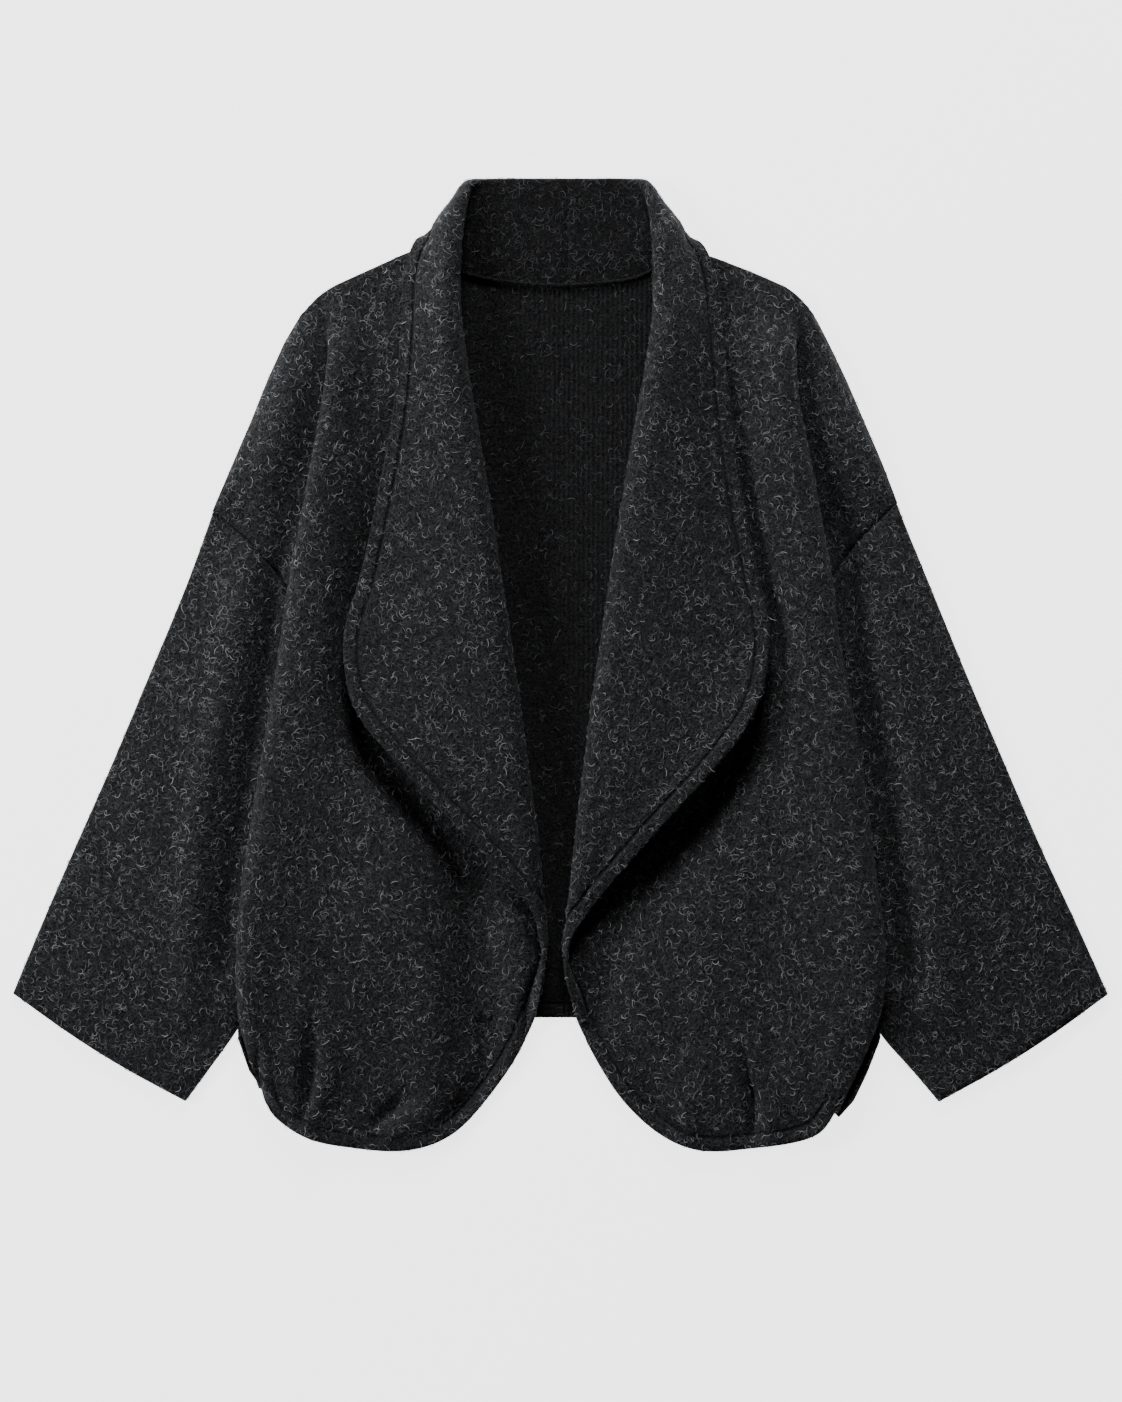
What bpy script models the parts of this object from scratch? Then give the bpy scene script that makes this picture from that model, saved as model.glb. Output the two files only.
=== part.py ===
"""Collared cardigan of boiled wool, laid flat on its back with both sleeves down.

The garment lies face up: +X is the wearer's left, +Y runs from hem to collar, +Z up.
Every piece is a wall of cloth: its middle surface is worked out from the sections below,
and Solidify gives the cloth its thickness. Lengths in the tables are millimetres.
"""
import math

import bpy
import numpy as np

MM = 0.001

# ---- cloth -------------------------------------------------------------------------
WALL = 2.5             # thickness of the boiled wool
HALF = WALL / 2
SEAM_GAP = 0.35        # free gap between two sewn pieces
FLOOR_LAYER = HALF     # middle height of a layer that lies on the surface
SEAM_LAYER = FLOOR_LAYER + WALL + SEAM_GAP          # a layer resting on the floor layer
SLEEVE_FOLD = 2.0      # radius of the pressed edges of a sleeve
UPPER_LAYER = FLOOR_LAYER + 2 * SLEEVE_FOLD         # upper layer of a sleeve
POCKET_FOLD = 2.4      # radius of the hidden fold under the side of the body

# ---- columns of one front, from the lapel's edge round to the armhole ----------------
FLAP = 6               # lapel, from its outer edge to the top of the roll
ROLL = 5               # round the roll
STAND = 3              # under the lapel, to the neck seam
BODY = 12              # front panel, from the neck point to the side fold
SIDE = 4               # round the side fold
POCKET = 3             # round the hidden fold
YOKE = 4               # out again to the shoulder, armhole or side seam
# Mesh rows from each section of the front to the next, closer where the shape turns.
FRONT_STEPS = (2, 2, 1, 1, 1, 1, 2, 2, 2, 2, 2, 2, 2, 1, 1, 2)

# Sections of each front, top to bottom. "_out" is the distance from the centre line.
SECTION_COLUMNS = ("roll_y", "roll_out", "lapel_out", "side_out", "side_y", "seam_out", "seam_y")
SECTIONS = {
    "right": (
        (297.0, 76.3, 120.5, 179.0, 290.8, 200.0, 267.6),
        (276.0, 76.2, 121.5, 179.0, 260.6, 212.1, 246.8),
        (245.2, 72.8, 122.8, 179.8, 233.7, 225.2, 217.5),
        (202.9, 66.6, 126.7, 184.4, 199.0, 237.5, 186.7),
        (156.7, 58.5, 134.4, 192.1, 156.7, 252.9, 151.3),
        (110.5, 51.2, 143.6, 200.6, 110.5, 267.6, 117.4),
        (64.3, 44.3, 153.6, 209.1, 64.3, 240.6, 95.1),
        (18.1, 37.3, 166.3, 216.0, 18.1, 208.3, 56.6),
        (-28.1, 30.8, 160.5, 222.9, -28.1, 189.0, 10.4),
        (-74.3, 24.6, 125.9, 230.6, -72.8, 175.9, -43.5),
        (-120.5, 18.1, 82.8, 237.5, -116.7, 165.9, -105.1),
        (-166.7, 13.5, 38.1, 243.7, -159.0, 164.0, -155.2),
        (-197.5, 10.0, 18.1, 247.6, -189.8, 175.0, -197.5),
        (-216.8, 9.2, 11.9, 249.1, -212.9, 196.7, -228.3),
        (-232.2, 11.6, 11.6, 249.9, -236.0, 216.0, -255.3),
        (-251.4, 14.6, 14.6, 249.1, -266.8, 235.2, -276.0),
        (-273.0, 21.2, 21.2, 232.8, -326.9, 229.8, -325.0),
    ),
    "left": (
        (297.0, 70.4, 119.5, 179.0, 289.6, 195.0, 267.6),
        (276.0, 70.1, 122.0, 182.1, 260.6, 205.6, 246.8),
        (245.2, 67.4, 125.1, 182.1, 233.7, 219.3, 218.3),
        (202.9, 60.1, 129.0, 184.4, 199.0, 232.6, 187.5),
        (156.7, 52.0, 135.1, 192.9, 156.7, 247.0, 154.4),
        (110.5, 44.3, 142.8, 201.4, 110.5, 259.1, 123.6),
        (64.3, 37.0, 152.1, 209.8, 64.3, 232.2, 97.4),
        (18.1, 30.4, 160.5, 215.2, 18.1, 201.4, 56.6),
        (-28.1, 23.5, 152.8, 223.7, -28.1, 184.4, 10.4),
        (-74.3, 17.7, 122.8, 231.4, -72.8, 172.9, -43.5),
        (-120.5, 12.3, 81.2, 237.5, -116.7, 165.2, -105.1),
        (-166.7, 7.3, 40.4, 242.9, -159.0, 163.5, -155.2),
        (-197.5, 3.5, 16.6, 247.6, -189.8, 175.0, -197.5),
        (-216.8, 1.5, 8.1, 249.9, -212.9, 194.4, -228.3),
        (-232.2, 2.3, 2.3, 250.6, -236.0, 213.7, -255.3),
        (-251.4, 6.5, 6.5, 247.6, -266.8, 232.9, -276.0),
        (-273.0, 13.5, 13.5, 214.0, -345.3, 212.0, -342.0),
    ),
}

# Heights and folds of the same sections, for both fronts.
#   under_z, mid_z  middle of the cloth beside the roll and halfway across the panel
#   roll_r, roll_deg  radius of the roll and how far the lapel is folded over
#   lift            air between the lapel's edge and the panel under it
#   flap            width of the turned edge where the lapel runs out
#   inset, inset_drop  from the edge of the roll in and down to where the panel starts
#   side_r, side_deg  radius of the side fold and how far it is folded under
#   under           width of the cloth that is folded under there
#   seam_z          middle of the cloth at the shoulder, armhole or side seam
#   arch            how far the cloth stands up between the side fold and that seam
#   skew, bow       how far the side fold follows the shoulder, and how round that is
HEIGHT_COLUMNS = ("under_z", "mid_z", "roll_r", "roll_deg", "lift", "flap", "inset", "inset_drop",
                  "side_r", "side_deg", "under", "seam_z", "arch", "skew", "bow")
HEIGHTS = (
    (5.6, 4.6, 11.0, 180, 2.4, 0, 11.0, 0, 20.0, 15, 3, 4.1, 0, 1, 2.5),
    (7.0, 8.0, 12.0, 180, 1.6, 0, 12.0, 0, 8.0, 50, 3, 4.1, 4, 0.4, 0.8),
    (9.0, 13.0, 12.5, 180, 0.6, 0, 12.5, 0, 6.5, 125, 3, 4.1, 8, 0, 0),
    (9.0, 15.0, 13.0, 180, 0.6, 0, 13.0, 0, 7.5, 180, 5, 4.1, 10, 0, 0),
    (9.0, 16.0, 13.0, 180, 0.8, 0, 13.0, 0, 8.5, 180, 15, 4.1, 9, 0, 0),
    (9.0, 16.0, 13.0, 180, 1.0, 0, 13.0, 0, 9.0, 180, 24, 5.25, 0, 0, 0),
    (9.0, 16.0, 13.0, 180, 1.5, 0, 13.0, 0, 9.5, 180, 33, 5.25, 0, 0, 0),
    (9.0, 16.0, 13.0, 180, 3.0, 0, 13.0, 0, 9.5, 180, 42, 5.25, 0, 0, 0),
    (9.0, 16.0, 12.5, 180, 8.0, 0, 12.5, 0, 9.5, 180, 50, 5.25, 0, 0, 0),
    (9.0, 16.0, 12.0, 180, 12.0, 0, 12.0, 0, 9.5, 180, 58, 5.25, 0, 0, 0),
    (8.5, 16.0, 10.5, 180, 12.0, 0, 10.5, 0, 9.5, 180, 67, 5.25, 0, 0, 0),
    (8.0, 16.0, 8.0, 180, 8.0, 0, 8.0, 0, 9.5, 180, 75, 4.7, 0, 0, 0),
    (7.0, 15.0, 4.5, 180, 5.0, 3.0, 4.5, 0, 9.5, 180, 76, 4.7, 0, 0, 0),
    (7.0, 14.0, 5.0, 130, 0, 4.0, 5.0, 0, 9.0, 180, 65, 4.7, 0, 0, 0),
    (7.0, 13.0, 6.5, 80, 0, 7.0, 7.6, 0, 8.5, 180, 52, 4.7, 0, 0, 0),
    (6.0, 12.0, 14.0, 45, 0, 4.5, 14.0, 5.0, 7.5, 180, 28, 4.7, 0, 0, 0),
    (5.0, 7.5, 25.0, 22, 0, 6.0, 7.5, 19.0, 3.0, 180, 11, 4.7, 0, 0, 0),
)

# Shoulder seam, neck point first, and hem, front edge first, as points (out, y).
SHOULDER = {
    "right": ((104.3, 317.6), (117.4, 316.1), (151.3, 300.7)),
    "left": ((99.7, 316.9), (115.9, 313.0), (147.0, 301.0)),
}
HEM = {
    "right": ((39.8, -312.6), (64.6, -345.0), (79.6, -360.0), (99.4, -371.0),
              (120.5, -375.8), (143.4, -374.9), (180.6, -369.7), (203.4, -362.0),
              (224.0, -345.8)),
    "left": ((32.0, -312.6), (48.4, -337.0), (65.2, -353.8), (84.0, -367.2),
             (100.6, -374.0), (117.0, -376.0), (136.0, -374.4), (159.5, -371.4),
             (184.0, -368.2), (202.0, -360.0)),
}

# Folds of the fronts that run up from the hem, each (column, height, reach): the reach is
# a share of the rows below HEM_FROM_SECTION.
FOLDS = {
    "right": ((2, -2.0, 0.9), (3, 2.5, 0.8), (6, -2.0, 0.5), (9, 4.5, 0.8), (10, -2.5, 0.7)),
    "left": ((2, -1.5, 0.9), (4, 3.0, 0.7), (7, -3.0, 0.7), (8, 2.5, 0.6), (10, -1.0, 0.5)),
}

# Sections of each half of the shawl collar, centre back first, as plan points.
COLLAR_COLUMNS = ("roll_out", "roll_y", "neck_out", "neck_y", "edge_out", "edge_y",
                  "wrap_out", "wrap_y")
COLLARS = {
    "right": (
        (-5.6, 373.8, -5.6, 290.7, -5.6, 307.6, -5.6, 373.8),
        (23.5, 373.8, 23.5, 292.2, 25.0, 307.6, 23.5, 373.8),
        (48.9, 373.8, 46.6, 294.5, 52.0, 309.2, 48.9, 373.8),
        (64.3, 366.8, 63.5, 297.6, 69.0, 312.2, 68.3, 373.6),
        (68.1, 364.6, 75.8, 301.5, 83.5, 316.1, 78.2, 367.1),
        (71.2, 351.5, 86.6, 306.8, 94.3, 321.5, 85.9, 354.6),
        (74.3, 332.3, 95.9, 312.2, 103.6, 326.1, 100.5, 336.9),
        (75.7, 316.0, 100.5, 314.9, 112.5, 325.0, 110.5, 327.6),
    ),
    "left": (
        (6.0, 373.8, 6.0, 290.7, 6.0, 307.6, 6.0, 373.8),
        (30.4, 373.8, 30.4, 293.0, 32.0, 307.6, 30.4, 373.8),
        (50.4, 373.8, 52.0, 295.3, 53.5, 309.2, 50.4, 373.8),
        (59.3, 366.8, 62.0, 298.4, 65.8, 312.2, 63.3, 373.6),
        (63.0, 363.1, 70.5, 303.0, 76.6, 316.1, 72.4, 367.2),
        (66.6, 350.0, 78.9, 307.6, 87.4, 320.7, 79.7, 355.4),
        (69.7, 330.7, 88.9, 312.2, 98.0, 324.6, 97.4, 334.6),
        (70.4, 315.5, 95.8, 314.6, 110.0, 322.5, 107.0, 326.5),
    ),
}
# Heights and folds of the same sections.
#   roll_top, roll_r  top of the fold and its radius
#   tilt            way the fold lies: 0 back and down, 90 upright, 180 over to the neck
#   neck_z          middle of the cloth at the neck seam
#   wrap_z, wrap_r  where the fall turns under at the outline; radius 0 where it lies on top
#   edge_z          middle of the cloth at the fall's edge
#   rest, bulge     share of the stand that lies on the fall, and how far it stands off
COLLAR_HEIGHT_COLUMNS = ("roll_top", "roll_r", "tilt", "neck_z", "wrap_z", "wrap_r", "edge_z",
                         "rest", "bulge")
COLLAR_HEIGHTS = (
    (5.1, 1.9, 0, 1.25, 1.25, 0, 1.25, 0.83, 0),
    (5.3, 2.0, 0, 1.25, 1.25, 0, 1.25, 0.83, 0),
    (5.9, 2.3, 0, 1.25, 1.25, 0, 1.25, 0.83, 0),
    (11.5, 2.6, 90, 1.25, 3.3, 2.0, 1.25, 0.83, 0),
    (15.0, 2.8, 115, 1.6, 3.6, 2.3, 1.3, 0.83, 0),
    (20.0, 5.0, 140, 2.5, 4.0, 2.5, 1.5, 0.83, 0),
    (25.0, 7.5, 165, 3.3, 5.0, 2.5, 2.5, 0.82, 0),
    (28.0, 8.5, 180, 4.6, 8.0, 0, 8.0, 0.90, 2.3),
)

# Sleeves: sections from armhole to cuff; "dome" is how far the upper layer arches up.
SLEEVE_COLUMNS = ("outer_out", "outer_y", "inner_out", "inner_y", "dome")
SLEEVES = {
    "right": (
        (267.6, 117.4, 165.9, -105.1, 0.0),
        (290.0, 57.0, 183.0, -140.0, 11.0),
        (317.0, -8.0, 200.0, -188.0, 15.0),
        (345.0, -75.0, 222.0, -236.0, 16.0),
        (375.4, -143.6, 248.3, -282.2, 12.0),
        (399.0, -198.0, 267.0, -308.5, 7.0),
        (422.3, -253.9, 288.2, -337.5, 1.5),
    ),
    "left": (
        (259.1, 123.6, 165.2, -105.1, 0.0),
        (284.5, 62.0, 182.0, -140.0, 11.0),
        (312.0, -5.0, 199.0, -188.0, 15.0),
        (341.5, -74.0, 220.0, -237.0, 16.0),
        (371.5, -143.6, 245.0, -284.5, 12.0),
        (397.0, -198.0, 268.0, -311.0, 7.0),
        (422.3, -254.5, 291.0, -338.0, 1.5),
    ),
}
ARMHOLE_FIRST = 5      # front sections between which the armhole seam lies
ARMHOLE_LAST = 10
SLEEVE_CORNER = 3      # mesh points round each pressed edge of a sleeve
SLEEVE_STEPS = (3, 2, 2, 2, 2, 2)  # mesh rings from each section to the next

# Lower edge of the back panel from its side seam to the straight hem, as (out, y).
BACK_HEM = {
    "right": ((245.5, -287.0), (247.0, -294.0), (239.0, -313.0), (229.8, -326.0),
              (200.0, -316.0), (165.0, -298.0), (125.0, -282.0), (85.0, -274.0),
              (45.0, -272.2)),
    "left": ((242.6, -284.0), (244.4, -289.0), (242.2, -296.1), (235.6, -314.5),
             (225.2, -336.1), (214.0, -348.5), (190.0, -322.0), (160.0, -298.0),
             (122.0, -281.0), (80.0, -274.0), (40.0, -272.2)),
}
NECK_TAPE_R = 1.5      # corded tape over the back neck seam
NECK_TAPE_SECTIONS = 5  # collar sections that it reaches on each side

# ---- how the tables are read ---------------------------------------------------------
NECK_SHARE = 0.2       # across a front, where the neck point falls
MID_SHARE = 0.65       # across a front, where "mid_z" is measured
STAND_SHARE = 0.45     # along the stand, where its first column lies
STAND_LIFT = 0.2       # play between the stand and the fall under it
FALL_STEP = 2.0        # columns of the fall next to its fold
HEM_FROM_SECTION = 10  # the section below which the rows bend to follow the hem
HEM_EASE = 1.6         # how late they do so
SHOULDER_ROWS = 5      # rows over which the slope of the shoulder dies out
FLAT_DEG = 12          # turn of the roll where the edge lies open at the hem
OPEN_DEG = 75          # below this the edge is drawn out to the front edge's line
FOLDED_DEG = 175       # above this the lapel lies folded over
FLAP_EASE = 0.5        # 0 a straight lapel, 1 one that lies flat at roll and edge
CREVICE = 1.5          # how far an arch stays clear of the side of the body
DOME_LEAN = 1.2        # above 1 the crown of a sleeve lies nearer the body
ARCH_POWER = 0.6       # below 1 an arch is flatter on top and steeper at its sides
CUFF_BOW = 3.6         # how far the middle of a cuff stands out past its corners
ARMHOLE_SHIFT = (0.455, -0.21)  # moves a sleeve off the armhole by the seam gap
NECK_GAP = 0.8         # between the back and the sloping stand, under the tape
NECK_TAPE_LIFT = 0.3   # play under the tape, where the stand begins to rise

CLOTH = {"name": "charcoal_boiled_wool", "colour": (0.035, 0.036, 0.038), "roughness": 0.95}
TAPE = {"name": "neck_tape", "colour": (0.03, 0.031, 0.033), "roughness": 0.9}


# ---- small geometry helpers ------------------------------------------------------------
def monotone(values, steps):
    """A table's values with `steps[i]` rows from row i to the next, with no overshoot."""
    values = np.asarray(values, float)
    slope = np.diff(values, axis=0)
    before, after = slope[:-1], slope[1:]
    same = before * after > 0
    total = np.where(same, before + after, 1.0)
    tangent = np.zeros_like(values)
    tangent[1:-1] = np.where(same, 2 * before * after / total, 0.0)
    tangent[0], tangent[-1] = slope[0], slope[-1]
    rows = []
    for i, count in enumerate(steps):
        for t in np.arange(count) / count:
            rise = t * t * (3 - 2 * t)
            rows.append(values[i] * (1 - rise) + values[i + 1] * rise
                        + tangent[i] * t * (1 - t) ** 2 + tangent[i + 1] * t * t * (t - 1))
    rows.append(values[-1])
    return np.array(rows)


def along(points, share):
    """Point at a share of a polyline's length."""
    points = np.asarray(points, float)
    steps = np.linalg.norm(np.diff(points, axis=0), axis=1)
    length = np.concatenate([[0], np.cumsum(steps)])
    return np.array([np.interp(share * length[-1], length, column) for column in points.T])


def unit(vector):
    vector = np.asarray(vector, float)
    return vector / np.linalg.norm(vector)


def mix(a, b, share):
    return np.asarray(a, float) * (1 - share) + np.asarray(b, float) * share


def at_height(plan, z):
    return np.array([plan[0], plan[1], z])


def smooth(x):
    x = min(max(x, 0.0), 1.0)
    return x * x * (3 - 2 * x)


# ---- sections of the fronts -------------------------------------------------------------
def front_sections(side):
    """Interpolated sections of one front, as dictionaries of named values."""
    plan = monotone(SECTIONS[side], FRONT_STEPS)
    height = monotone(HEIGHTS, FRONT_STEPS)
    names = SECTION_COLUMNS + HEIGHT_COLUMNS
    rows = [dict(zip(names, np.concatenate(pair))) for pair in zip(plan, height)]
    # the seams keep their corners, so they run straight from section to section
    keys = np.concatenate([[0], np.cumsum(FRONT_STEPS)])
    table = np.asarray(SECTIONS[side])
    for index, row in enumerate(rows):
        for name in ("seam_out", "seam_y"):
            row[name] = float(np.interp(index, keys, table[:, SECTION_COLUMNS.index(name)]))
    return rows


def side_fold(row):
    """Side fold in (out, z): over the edge, back in under it, and round the hidden fold."""
    turn = math.radians(row["side_deg"])
    radius = row["side_r"]
    out = row["side_out"] - HALF - radius * math.sin(min(turn, math.pi / 2))
    length = row["under"]
    pocket = POCKET_FOLD * math.pi / turn
    drop = (radius + pocket) * (1 - math.cos(turn)) + length * math.sin(turn)
    z = UPPER_LAYER + drop
    path = [(out, z)]
    for k in range(1, SIDE + 1):
        a = turn * k / SIDE
        path.append((out + radius * math.sin(a), z - radius * (1 - math.cos(a))))
    out, z = path[-1]
    path.append((out + length * math.cos(turn), z - length * math.sin(turn)))
    out, z = path[-1]
    for k in range(1, POCKET + 1):
        a = turn * (1 - k / POCKET)
        path.append((out + pocket * (math.sin(turn) - math.sin(a)),
                     z - pocket * (math.cos(a) - math.cos(turn))))
    return path


def panel_shares():
    """Shares across a front from beside the roll to the side fold."""
    under = [NECK_SHARE * k / STAND for k in range(STAND)]
    return under + [NECK_SHARE + (1 - NECK_SHARE) * k / BODY for k in range(BODY + 1)]


def panel_z(row, share, side_z):
    if share < MID_SHARE:
        return mix(row["under_z"], row["mid_z"], smooth(share / MID_SHARE))
    return mix(row["mid_z"], side_z, smooth((share - MID_SHARE) / (1 - MID_SHARE)))


def fold_height(side, share, reach):
    """Height of the folds that run up from the hem, where `reach` is 1 at the hem."""
    column = (share - NECK_SHARE) / (1 - NECK_SHARE) * BODY
    total = 0.0
    for fold in FOLDS[side]:
        centre, height, length = fold
        across = max(0.0, 1 - abs(column - centre))
        total += height * across * smooth((reach - 1 + length) / length)
    return total


def front_body(side, rows):
    """Grid of the front panel, from beside the roll to the top of the side fold."""
    shares = panel_shares()
    starts = [np.array([row["roll_out"] + edge_shift(row) + row["inset"],
                        row["roll_y"] - row["inset_drop"]]) for row in rows]
    ends = [np.array([side_fold(row)[0][0], row["side_y"]]) for row in rows]
    hem = [starts[-1], *HEM[side], ends[-1]]
    shoulder = [*SHOULDER[side], ends[0]]
    first_hem_row = sum(FRONT_STEPS[:HEM_FROM_SECTION])
    grid = []
    for index, row in enumerate(rows):
        top_weight = max(0.0, 1 - index / SHOULDER_ROWS) ** 2
        hem_reach = max(0.0, (index - first_hem_row) / (len(rows) - 1 - first_hem_row))
        side_z = side_fold(row)[0][1]
        line = []
        for share in shares:
            plan = mix(starts[index], ends[index], share)
            if share < NECK_SHARE:
                top = mix(starts[0], shoulder[0], share / NECK_SHARE)
            else:
                top = along(shoulder, (share - NECK_SHARE) / (1 - NECK_SHARE))
            plan = plan + top_weight * (top - mix(starts[0], ends[0], share))
            low = along(hem, share) - mix(starts[-1], ends[-1], share)
            plan = plan + hem_reach ** HEM_EASE * low
            z = panel_z(row, share, side_z) + fold_height(side, share, hem_reach)
            line.append(at_height(plan, z))
        grid.append(line)
    return grid


def edge_shift(row):
    """From the seen edge in to the middle of the cloth: half the wall where it is rolled."""
    return HALF * smooth((row["roll_deg"] - FLAT_DEG) / (90 - FLAT_DEG))


def lapel(row, line):
    """Lapel and roll of one section, from the outer edge to beside the panel's start."""
    start = line[0]
    inner = np.array([row["roll_out"] + edge_shift(row), row["roll_y"]])
    inward = unit(inner - start[:2])
    turn = math.radians(row["roll_deg"])
    radius = row["roll_r"]
    roll = []
    for k in range(ROLL):
        a = turn * (1 - k / ROLL)
        roll.append(at_height(start[:2] + inward * radius * math.sin(a),
                              start[2] + radius * (1 - math.cos(a))))
    top = roll[0]
    if row["roll_deg"] > FOLDED_DEG:
        outs = [p[0] for p in line]
        below = float(np.interp(row["lapel_out"], outs, [p[2] for p in line]))
        edge = np.array([row["lapel_out"], row["roll_y"], below + WALL + SEAM_GAP + row["lift"]])
    else:
        reach = row["flap"]
        if row["roll_deg"] < OPEN_DEG:
            extent = np.linalg.norm(inner - start[:2])
            reach = (extent - radius * math.sin(turn)) / math.cos(turn)
        edge = at_height(top[:2] + inward * reach * math.cos(turn), top[2] + reach * math.sin(turn))
    flap = []
    for k in range(FLAP):
        share = k / FLAP
        path = mix(edge, top, share)
        path[2] = mix(path[2], mix(edge[2], top[2], smooth(share)), FLAP_EASE)
        flap.append(path)
    return flap + roll


def yoke(row, path):
    """Side fold, then the layer under it out to the seam, arched where nothing lies on it."""
    seam = np.array([row["seam_out"], row["seam_z"]])
    points = [np.array(point) for point in path[1:]]
    points += [mix(points[-1], seam, k / YOKE) for k in range(1, YOKE + 1)]
    free = row["side_out"] + CREVICE
    line = []
    for out, z in points:
        share = (out - path[0][0]) / (row["seam_out"] - path[0][0])
        straight = mix(row["side_y"], row["seam_y"], share)
        y = mix(row["side_y"], straight, row["skew"]) + row["bow"] * math.sin(math.pi * share)
        if free < out < row["seam_out"]:
            place = (out - free) / (row["seam_out"] - free)
            z += row["arch"] * math.sin(math.pi * place) ** ARCH_POWER
        line.append(np.array([out, y, z]))
    last = line[SIDE + POCKET]
    for k in range(1, YOKE + 1):
        line[SIDE + POCKET + k][1] = mix(last[1], row["seam_y"], k / YOKE)
    return line


# ---- sections of the shawl collar --------------------------------------------------------
def stand(top, row):
    """Stand of the collar, from the roll down to the neck seam, lying on the fall."""
    neck = np.array([row["neck_out"], row["neck_y"], row["neck_z"]])
    points = []
    for share in (STAND_SHARE, row["rest"]):
        p = mix(top, neck, share)
        p[2] = max(p[2], SEAM_LAYER + STAND_LIFT) + row["bulge"]
        points.append(p)
    return points + [neck]


def hairpin(centre, outward, row):
    """Round a fold of the collar, from the side of the fall to the side of the stand."""
    tilt = math.radians(row["tilt"])
    out, up = at_height(outward, 0), at_height((0, 0), 1)
    fall_side = out * math.sin(tilt) - up * math.cos(tilt)
    bulge = out * math.cos(tilt) + up * math.sin(tilt)
    centre = at_height(centre, row["roll_top"] - row["roll_r"])
    angles = [math.pi * k / ROLL for k in range(ROLL + 1)]
    return [centre + row["roll_r"] * (fall_side * math.cos(a) + bulge * math.sin(a))
            for a in angles]


def collar_section(row):
    """One section of the collar, from the fall's edge over the fold to the neck seam."""
    roll = np.array([row["roll_out"], row["roll_y"]])
    wrap = np.array([row["wrap_out"], row["wrap_y"]])
    edge = np.array([row["edge_out"], row["edge_y"], row["edge_z"]])
    down = unit(edge[:2] - wrap)
    far = FLAP // 2
    if row["tilt"] == 0:
        turn = hairpin(wrap + down * (HALF + row["roll_r"]), -down, row)
        near = [turn[0] + at_height(down, 0) * FALL_STEP * k for k in range(far, 0, -1)]
        fall = [mix(edge, near[0], k / far) for k in range(far)] + near
        return fall + turn + stand(turn[-1], row)
    outward = unit(wrap - roll)
    turn = hairpin(roll + outward * (HALF + row["roll_r"]), outward, row)
    if row["wrap_r"] == 0:
        return [mix(edge, turn[0], k / FLAP) for k in range(FLAP)] + turn + stand(turn[-1], row)
    bend = row["wrap_r"]
    side = at_height(wrap - outward * HALF, row["wrap_z"])
    under = at_height(wrap - outward * (HALF + bend / 2) + down * bend / 2, row["wrap_z"] - bend)
    fall = [edge, mix(edge, under, 0.5), under]
    for k in range(FLAP - far):
        a = math.pi / 2 * k / (FLAP - far)
        plan = mix(turn[0], side, math.cos(a))[:2]
        fall.append(at_height(plan, mix(side[2], turn[0][2], math.sin(a))))
    return fall + turn + stand(turn[-1], row)


def collar_grid(side):
    names = COLLAR_COLUMNS + COLLAR_HEIGHT_COLUMNS
    return [collar_section(dict(zip(names, plan + height)))
            for plan, height in zip(COLLARS[side], COLLAR_HEIGHTS)]


# ---- sleeves ------------------------------------------------------------------------------
def armhole(side):
    """Points of the armhole seam, shoulder first, shared by front, back and sleeve."""
    rows = front_sections(side)
    first = sum(FRONT_STEPS[:ARMHOLE_FIRST])
    last = sum(FRONT_STEPS[:ARMHOLE_LAST])
    return np.array([(row["seam_out"], row["seam_y"]) for row in rows[first:last + 1]])


def pressed_edge(keys, name, index, turn):
    """Point of a sleeve's pressed edge in the middle of the cloth, and the way it faces."""
    points = [np.array([key[name + "_out"], key[name + "_y"]]) for key in keys]
    before, after = points[max(index - 1, 0)], points[min(index + 1, len(points) - 1)]
    run = unit(after - before)
    facing = turn * np.array([-run[1], run[0]])
    return points[index] - facing * (HALF + SLEEVE_FOLD + SEAM_GAP), facing


def sleeve_ring(side, seam, keys, index):
    """One closed section of a sleeve: lower layer, underarm fold, upper layer, outer fold."""
    steps = np.linalg.norm(np.diff(seam, axis=0), axis=1)
    shares = np.concatenate([[0], np.cumsum(steps)]) / steps.sum()
    outer, outer_facing = pressed_edge(keys, "outer", index, 1)
    inner, inner_facing = pressed_edge(keys, "inner", index, -1)
    if index == 0:
        outer_facing = unit(seam[0] - seam[1])
        outer = seam[0] - outer_facing * (HALF + SLEEVE_FOLD + SEAM_GAP)
    bend = (1 - index / (len(keys) - 1)) ** 2
    plan = [mix(outer, inner, q) + bend * (p - mix(seam[0], seam[-1], q))
            for q, p in zip(shares, seam)]
    way = unit([outer_facing[1] - inner_facing[1], inner_facing[0] - outer_facing[0]])
    plan = [p + way * CUFF_BOW * (1 - bend) * math.sin(math.pi * q) for q, p in zip(shares, plan)]
    free = uncovered(side, plan, shares)
    if index == 0:
        plan = [p + np.array(ARMHOLE_SHIFT) for p in [outer, *seam[1:-1], inner]]
    lower = [at_height(p, FLOOR_LAYER) for p in plan]
    upper = []
    for q, p in zip(shares, plan):
        arch = math.sin(math.pi * (q / free) ** DOME_LEAN) ** ARCH_POWER if q < free else 0.0
        upper.append(at_height(p, UPPER_LAYER + keys[index]["dome"] * arch))
    return lower + corner(plan[-1], inner_facing, 1) + upper[::-1] + corner(plan[0], outer_facing, -1)


def uncovered(side, plan, shares):
    """Share of a sleeve's width, from its outer edge, that lies clear of the body."""
    rows = front_sections(side)
    side_y = [-row["side_y"] for row in rows]
    side_out = [row["side_out"] for row in rows]
    clear = [p[0] - np.interp(-p[1], side_y, side_out) - CREVICE for p in plan]
    if clear[-1] >= 0 or plan[-1][1] < rows[-1]["side_y"]:
        return 1.0
    return float(np.interp(0, clear[::-1], shares[::-1]))


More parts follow.
